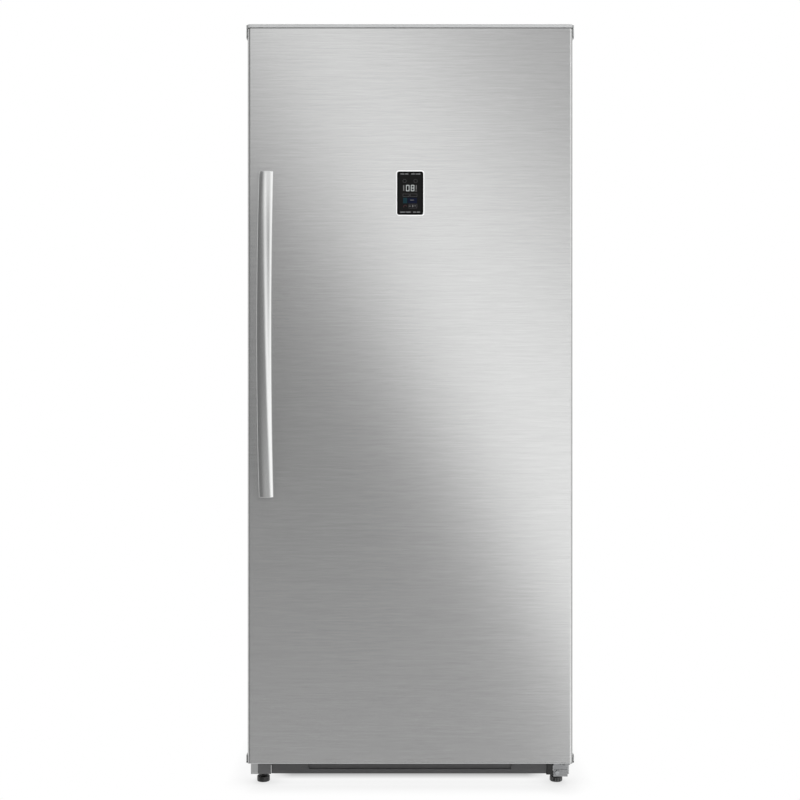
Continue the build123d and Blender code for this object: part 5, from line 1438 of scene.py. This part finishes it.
@dataclass
class ControlPanel:
    """Black glass with a digit display and generic symbols, in a bright thin frame.

    The marks' places are in millimetres from the panel's centre, across and up.

    Attributes:
        proud: How far the printed and lit marks stand on the glass.
        tint_lift: How far the tinted fields stand on the first layer.
        ring_width: Width of the bright frame round the glass.
        soft_edge: Width of the frame's softened front edges.
        corner: Radius of the frame's corners.
        lens_corner: How much smaller the glass's corners are.
        border_mm: Width of the black border round the grey field.
        digit_mm: Width, height and line of a digit.
        digit_gap_mm: Half the gap between two segments.
        face: The glass's front, along Y.
        centre: Its middle, across and up.
        half_mm: Half its width and half its height, in millimetres.
    """

    proud: float = 0.06 * MM
    tint_lift: float = 0.02 * MM
    ring_width: float = 3.0 * MM
    soft_edge: float = 0.35 * MM
    corner: float = 8.3 * MM
    lens_corner: float = 2.8 * MM
    border_mm: float = 4.2
    digit_mm: tuple[float, float, float] = (8.6, 15.6, 1.7)
    digit_gap_mm: float = 0.25
    face: float = field(init=False)
    centre: tuple[float, float] = field(init=False)
    half_mm: tuple[float, float] = field(init=False)

    def __post_init__(self) -> None:
        """Takes the glass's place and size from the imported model."""
        low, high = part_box("panel_lens")
        self.face = low.y
        self.centre = ((low.x + high.x) / 2, (low.z + high.z) / 2)
        self.half_mm = ((high.x - low.x) / 2 / MM, (high.z - low.z) / 2 / MM)

    def build(self) -> None:
        """Builds the glass, its frame and its marks."""
        self.bezel()
        self.glass()
        wide, tall = (half - self.border_mm for half in self.half_mm)
        grey = [rounded(-wide, wide, -tall, tall, 1.5)]
        digits = self.digit(-10.4, 5.0, Digit.NOUGHT) + self.digit(1.8, 5.0, Digit.EIGHT)
        dim = bars(
            (-17.6, -14.6, 5.6, 20.0), (14.0, 16.4, 9.0, 20.0), (13.0, 17.0, 4.6, 6.6),
            (0.0, 9.4, -18.2, -16.6), (-3.0, 2.0, -33.2, -31.6), (5.0, 8.0, -34.6, -29.6),
            (10.0, 15.0, -32.6, -31.2),
        )
        for name, finish, quads, lift in (
            ("panel_field", PANEL_FIELD, grey, 0.0),
            ("display_digits", LIT_DIGITS, digits, self.proud),
            ("panel_print", PRINT, self.dashes(), self.proud),
            ("panel_faint_print", FAINT_PRINT, self.symbols(), self.proud),
            ("lit_marks", LIT_DIM, dim, self.proud),
            ("lit_blue", LIT_BLUE, bars((-6.4, 17.0, -25.4, -11.4)), self.tint_lift),
            ("lit_teal", LIT_TEAL, bars((-17.6, -7.6, -25.4, -11.4)), self.tint_lift),
            ("lit_red", LIT_RED, ring(-12.6, -33.6, 4.2, 1.1, runs=7), self.proud),
        ):
            self.marks(name, finish, quads, lift)

    def bezel(self) -> None:
        """The bright frame: a round-cornered ring with a soft front edge."""
        low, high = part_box("panel_bezel")
        edge, width = self.soft_edge, self.ring_width
        loops = []
        for gap, depth in (
            (0.0, high.y), (0.0, low.y + edge), (edge, low.y),
            (width - edge, low.y), (width, low.y + edge), (width, high.y),
        ):
            sides = (low.x + gap, high.x - gap, low.z + gap, high.z - gap)
            loops.append([(x, depth, z) for x, z in rounded(*sides, self.corner - gap, 8)])
        bezel = shell("panel_bezel_shown", loops)
        smooth(bezel, 50.0)
        dress(bezel, BEZEL, "door", ["panel_bezel"])

    def glass(self) -> None:
        """The black glass, which fills the frame."""
        low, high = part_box("panel_lens")
        outline = rounded(low.x, high.x, low.z, high.z, self.corner - self.lens_corner, 8)
        glass = prism("panel_lens_shown", outline, low.y, high.y, Axis.Y)
        soften(glass, 0.25 * MM, 2, 60.0)
        smooth(glass, 30.0)
        dress(glass, PANEL_GLASS, "door", ["panel_lens"])

    @staticmethod
    def dashes() -> list[Outline]:
        """Two rows of generic dashes, along the top and the bottom.

        Returns:
            One outline for each dash.
        """
        half_line = 0.9
        quads: list[Outline] = []
        for level, runs in (
            (48.0, ((-24.0, -15.0), (-13.0, -4.5), (2.5, 12.0), (14.0, 25.5))),
            (-47.4, ((-25.0, -12.0), (-10.0, 1.5), (7.5, 15.0), (17.0, 25.0))),
        ):
            quads += [bar(x0, x1, level - half_line, level + half_line) for x0, x1 in runs]
        return quads

    @staticmethod
    def symbols() -> list[Outline]:
        """Small rings and boxes that are hardly seen.

        Returns:
            The outlines of their quads and bars.
        """
        rings = ring(-14.0, 30.5, 4.6, 0.6) + ring(13.5, 30.5, 4.6, 0.6)
        boxes = box_outline(-18.4, -2.0, -8.6, -1.6) + box_outline(0.0, 17.4, -8.6, -1.6)
        return rings + boxes + box_outline(-3.4, 17.4, -37.6, -27.4)

    def digit(self, x: float, z: float, value: Digit) -> list[Outline]:
        """A seven-segment digit.

        Args:
            x: Its left edge.
            z: Its lower edge.
            value: Which digit.

        Returns:
            One outline for each lit segment.
        """
        (wide, tall, line), gap = self.digit_mm, self.digit_gap_mm
        half, right, top = tall / 2, x + wide, z + tall
        shapes = {
            "a": bar(x + line, right - line, top - line, top),
            "b": bar(right - line, right, z + half + gap, top - gap),
            "c": bar(right - line, right, z + gap, z + half - gap),
            "d": bar(x + line, right - line, z, z + line),
            "e": bar(x, x + line, z + gap, z + half - gap),
            "f": bar(x, x + line, z + half + gap, top - gap),
            "g": bar(x + line, right - line, z + half - line / 2, z + half + line / 2),
        }
        return [shapes[segment] for segment in value.value]

    def marks(self, name: str, finish: Finish, quads: Iterable[Outline], lift: float) -> None:
        """One thin mesh of marks on the glass.

        Args:
            name: The piece's name.
            finish: Its finish.
            quads: Outlines in millimetres from the panel's centre.
            lift: How much further out than the first layer it lies.
        """
        front, back = self.face - self.proud - lift, self.face + self.proud
        across, up = self.centre
        parts = []
        for quad in quads:
            outline = [(across + x * MM, up + z * MM) for x, z in quad]
            parts.append(prism("mark", outline, front, back, Axis.Y))
        dress(join(name, parts), finish, "door")


# ----------------------------------------------------------------------------------- the cabinet
@dataclass
class Cabinet:
    """The cabinet's shell, lined space, shelves, drawers and machine compartment.

    Attributes:
        shelves: Number of glass shelves.
        sight: Rise for each metre of depth of the camera's line over the door's top edge.
        lip: Height of the hinge cover's top that is sloped.
        lip_fall: How much each metre of that height falls away.
        brow_room: How far behind the end of the slope the cover's faces are divided.
    """

    shelves: int = 4
    sight: float = 0.3037
    lip: float = 5.0 * MM
    lip_fall: float = 0.5
    brow_room: float = 1.0 * MM

    def build(self) -> None:
        """Dresses every piece of the cabinet."""
        self.dress_all(
            (CABINET_PAINT, 0.3, 2, ("side_panel_left", "side_panel_right", "top_panel")),
            (ZINC, 0.3, 2, ("back_panel", "rear_cover", "base_plate")),
            (BRACKET_PAINT, 0.3, 2, ("foot_brackets",)),
            (ZINC, 0.0, 2, ("bottom_pan",)),
            (ZINC, 0.5, 2, ("top_hinge_plate",)),
            (HINGE_ZINC, 0.5, 2, ("bottom_hinge_bracket",)),
        )
        self.hinge_cover()
        shelves = tuple(f"glass_shelf_{number}" for number in range(1, self.shelves + 1))
        self.dress_all(
            (RAIL_PAINT, 0.6, 2, ("kick_rail",)),
            (BLACK_PLASTIC, 0.8, 3, ("rail_end_block",)),
            (BLACK_PLASTIC, 0.4, 2, ("cord_gland",)),
            (LINER, 1.2, 3, ("inner_liner",)),
            (LINER, 0.5, 2, ("duct_cover",)),
            (OPAL, 1.5, 3, ("led_lamp",)),
            (TRIM, 0.5, 2, ("shelf_trims",)),
            (SHELF_GLASS, 0.6, 2, shelves),
            (BLACK_PLASTIC, 0.6, 2, ("drain_pan",)),
            (COMPRESSOR_PAINT, 2.0, 3, ("compressor",)),
            (BLACK_PLASTIC, 1.0, 2, ("terminal_cover",)),
            (FASTENER, 0.3, 2, ("hex_bolts", "cover_screws")),
        )
        repaint(
            {
                "cabinet_foam": INSULATION,
                "evaporator": COIL,
                "defrost_heater": COIL,
                "drain_trough": LINER,
                "fan_motor": BLACK_PLASTIC,
                "condenser_tubes": STEEL_TUBE,
                "refrigerant_pipes": COPPER,
                "compressor_grommets": GROMMET,
            }
        )
        for drawer in ("lower_drawer", "upper_drawer"):
            refined(drawer, CLEAR_PLASTIC, drawer, 1.0 * MM, 3)
        refined("evaporator_fan", BLACK_PLASTIC, "fan", 0.3 * MM)
        RunningGear().build()

    @staticmethod
    def dress_all(*rows: tuple[Finish, float, int, tuple[str, ...]]) -> None:
        """Refines fixed nodes of the cabinet.

        Args:
            rows: Finish, width of the softened edges in millimetres, faces across them, nodes.
        """
        for finish, rounding, segments, nodes in rows:
            for node in nodes:
                refined(node, finish, "cabinet", rounding * MM, segments)

    def hinge_cover(self) -> None:
        """The cover over the top hinge, with its nose sloped down towards the door's front."""
        cover = from_node("hinge_cover", "hinge_cover_shown")
        work = bmesh.new()
        work.from_mesh(cover.data)
        eye = Vector(Studio.eye)
        brow = eye.y + (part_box("hinge_cover")[1].z - eye.z) / self.sight
        bmesh.ops.bisect_plane(
            work,
            geom=work.verts[:] + work.edges[:] + work.faces[:],
            plane_co=(0.0, brow + self.brow_room, 0.0),
            plane_no=(0.0, 1.0, 0.0),
        )
        high = max(v.co.z for v in work.verts)
        for vertex in work.verts:
            drop = high - vertex.co.z
            if drop < self.lip:
                line = eye.z + self.sight * (vertex.co.y - eye.y) - self.lip_fall * drop
                vertex.co.z = min(vertex.co.z, line)
        work.to_mesh(cover.data)
        work.free()
        soften(cover, 0.4 * MM)
        smooth(cover)
        dress(cover, GREY_PLASTIC, "cabinet", ["hinge_cover"])


@dataclass
class RunningGear:
    """The two levelling feet and the two rear rollers.

    A profile's rows are in millimetres: inwards from the outer radius, and along the axis.

    Attributes:
        bore: Radius of a roller's axle.
        half_tyre: Half the width of a roller's tyre.
        hub: Rings of a tyre's side, as a share of its radius and a depth in millimetres.
        shoulder: Profile of a tyre's shoulder.
        chamfer: At the ends of an axle.
        base: Radius of a foot's base.
        base_height: Its height.
        sole: Profile of its lower edge.
        brim: Profile of its upper edge, measured down from the top.
        nut: Half the width of its hexagon over the corners.
        nut_span: Where the hexagon starts and ends above the base's top.
        stud: Radius of its threaded stud.
        stud_start: Where the thread starts above the base's top.
        thread: Pitch of the thread.
        thread_depth: Its depth.
        tip: How much thinner the stud's end is.
        ribs: Grip ribs round the right foot.
        rib_room: How much smaller the right foot's base is, to leave room for them.
        rib_ends: Their distance from the base's top and from its bottom.
    """

    bore: float = 3.0 * MM
    half_tyre: float = 9.0 * MM
    hub: tuple[tuple[float, float], ...] = ((0.45, 0.0), (0.50, 1.2), (0.80, 1.2), (0.84, 0.0))
    shoulder: tuple[tuple[float, float], ...] = ((1.4, 0.0), (0.4, 0.6), (0.0, 2.0))
    chamfer: float = 0.5 * MM
    base: float = 16.5 * MM
    base_height: float = 14.0 * MM
    sole: tuple[tuple[float, float], ...] = ((2.2, 0.0), (0.7, 0.4), (0.0, 1.6))
    brim: tuple[tuple[float, float], ...] = ((0.0, 2.0), (0.6, 0.7), (2.0, 0.0))
    nut: float = 9.0 * MM
    nut_span: tuple[float, float] = (-1.0 * MM, 10.0 * MM)
    stud: float = 5.0 * MM
    stud_start: float = 9.0 * MM
    thread: float = 1.5 * MM
    thread_depth: float = 0.6 * MM
    tip: float = 1.0 * MM
    ribs: int = 14
    rib_room: float = 0.7 * MM
    rib_ends: tuple[float, float] = (2.4 * MM, 1.8 * MM)

    def build(self) -> None:
        """Builds and dresses both sides."""
        for side in ("left", "right"):
            self.roller(side)
            self.foot(side, ribbed=side == "right")

    def roller(self, side: str) -> None:
        """A tyre with rounded shoulders on its axle.

        Args:
            side: Which side of the cabinet.
        """
        low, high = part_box(f"roller_{side}")
        middle = tuple((low + high) / 2)
        radius, reach = (high.z - low.z) / 2, (high.x - low.x) / 2
        rim = [(self.bore, -self.half_tyre)]
        rim += [(radius * share, -self.half_tyre + depth * MM) for share, depth in self.hub]
        rim += [(radius - a * MM, -self.half_tyre + b * MM) for a, b in self.shoulder]
        rim += [(r, -along) for r, along in reversed(rim)]
        tip = [(self.bore - self.chamfer, -reach), (self.bore, self.chamfer - reach)]
        tip += [(r, -along) for r, along in reversed(tip)]
        tyre = lathe("tyre", rim, middle, Axis.X, 48)
        piece = join(f"roller_{side}_shown", (tyre, lathe("axle", tip, middle, Axis.X, 24)))
        smooth(piece)
        dress(piece, BLACK_PLASTIC, f"roller_{side}", [f"roller_{side}"])

    def foot(self, side: str, ribbed: bool) -> None:
        """A round base with a hexagon for the wrench and a threaded stud.

        Args:
            side: Which side of the cabinet.
            ribbed: Whether grip ribs stand round the base.
        """
        low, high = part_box(f"foot_{side}")
        centre = ((low.x + high.x) / 2, (low.y + high.y) / 2, low.z)
        wide = self.base - (self.rib_room if ribbed else 0.0)
        tall = self.base_height
        profile = [(wide - a * MM, b * MM) for a, b in self.sole]
        profile += [(wide - a * MM, tall - b * MM) for a, b in self.brim]
        angles = [math.radians(60 * i) for i in range(6)]
        corners = [
            (centre[0] + self.nut * math.cos(a), centre[1] + self.nut * math.sin(a))
            for a in angles
        ]
        start, end = self.nut_span
        parts = [lathe("base", profile, centre), prism("nut", corners, tall + start, tall + end)]
        parts.append(lathe("stud", self._threads(high.z - low.z), centre, Axis.Z, 32))
        if ribbed:
            ribs = self.grip(centre, wide)
            smooth(ribs)
            # Painted highlight: the ribs take a lighter black than the foot.
            dress(ribs, RIB_HIGHLIGHT, f"foot_{side}")
        piece = join(f"foot_{side}_shown", parts)
        smooth(piece)
        dress(piece, BLACK_PLASTIC, f"foot_{side}", [f"foot_{side}"])

    def _threads(self, top: float) -> Outline:
        """Profile of the threaded stud.

        Args:
            top: Height of the stud's end over the floor.

        Returns:
            Radius and height of each ring.
        """
        rings: Outline = []
        level = self.base_height + self.stud_start
        while level < top - self.thread:
            rings += [(self.stud - self.thread_depth, level)]
            rings += [(self.stud, level + self.thread / 2)]
            level += self.thread
        return rings + [(self.stud - self.tip, top)]

    def grip(self, centre: Point, radius: float) -> bpy.types.Object:
        """Ribs that stand round a foot's base.

        Args:
            centre: The foot's centre on the floor.
            radius: The base's radius.

        Returns:
            The ribs as one mesh.
        """
        recipe = Recipe("grip ribs")
        count, around = recipe.size("Count", "NodeSocketInt"), recipe.size("Radius")
        circle = {"Resolution": count, "Radius": around}
        path = recipe.add("GeometryNodeCurvePrimitiveCircle", {}, circle).outputs[0]
        mode = {"mode": "EVALUATED"}
        points = recipe.add("GeometryNodeCurveToPoints", mode, {"Curve": path}).outputs
        copies = {
            "Points": points["Points"],
            "Instance": recipe.shape("Rib"),
            "Rotation": points["Rotation"],
        }
        spread = recipe.add("GeometryNodeInstanceOnPoints", {}, copies)
        # The ribs take a lighter copy of the foot's black plastic, a painted highlight.
        recipe.finish(spread.outputs[0], RIB_HIGHLIGHT)
        half = ((-0.6, -1.9), (0.2, -1.6), (0.6, -0.8))
        section = [(x * MM, y * MM) for x, y in half]
        section += [(x, -y) for x, y in reversed(section)]
        above, below = self.rib_ends
        rib = prism("rib", section, -self.base_height + above, -below, Axis.Y)
        ribs = recipe.run("foot_right_grip", {"Count": self.ribs, "Radius": radius, "Rib": rib})
        bpy.data.objects.remove(rib)
        ribs.data.transform(Matrix.Translation(centre))
        return ribs


def main() -> None:
    """Builds the studio, then the object."""
    logging.basicConfig(level=logging.INFO, format="%(message)s")
    Studio().build()
    Door().build()
    ControlPanel().build()
    Cabinet().build()


if __name__ == "__main__":
    main()
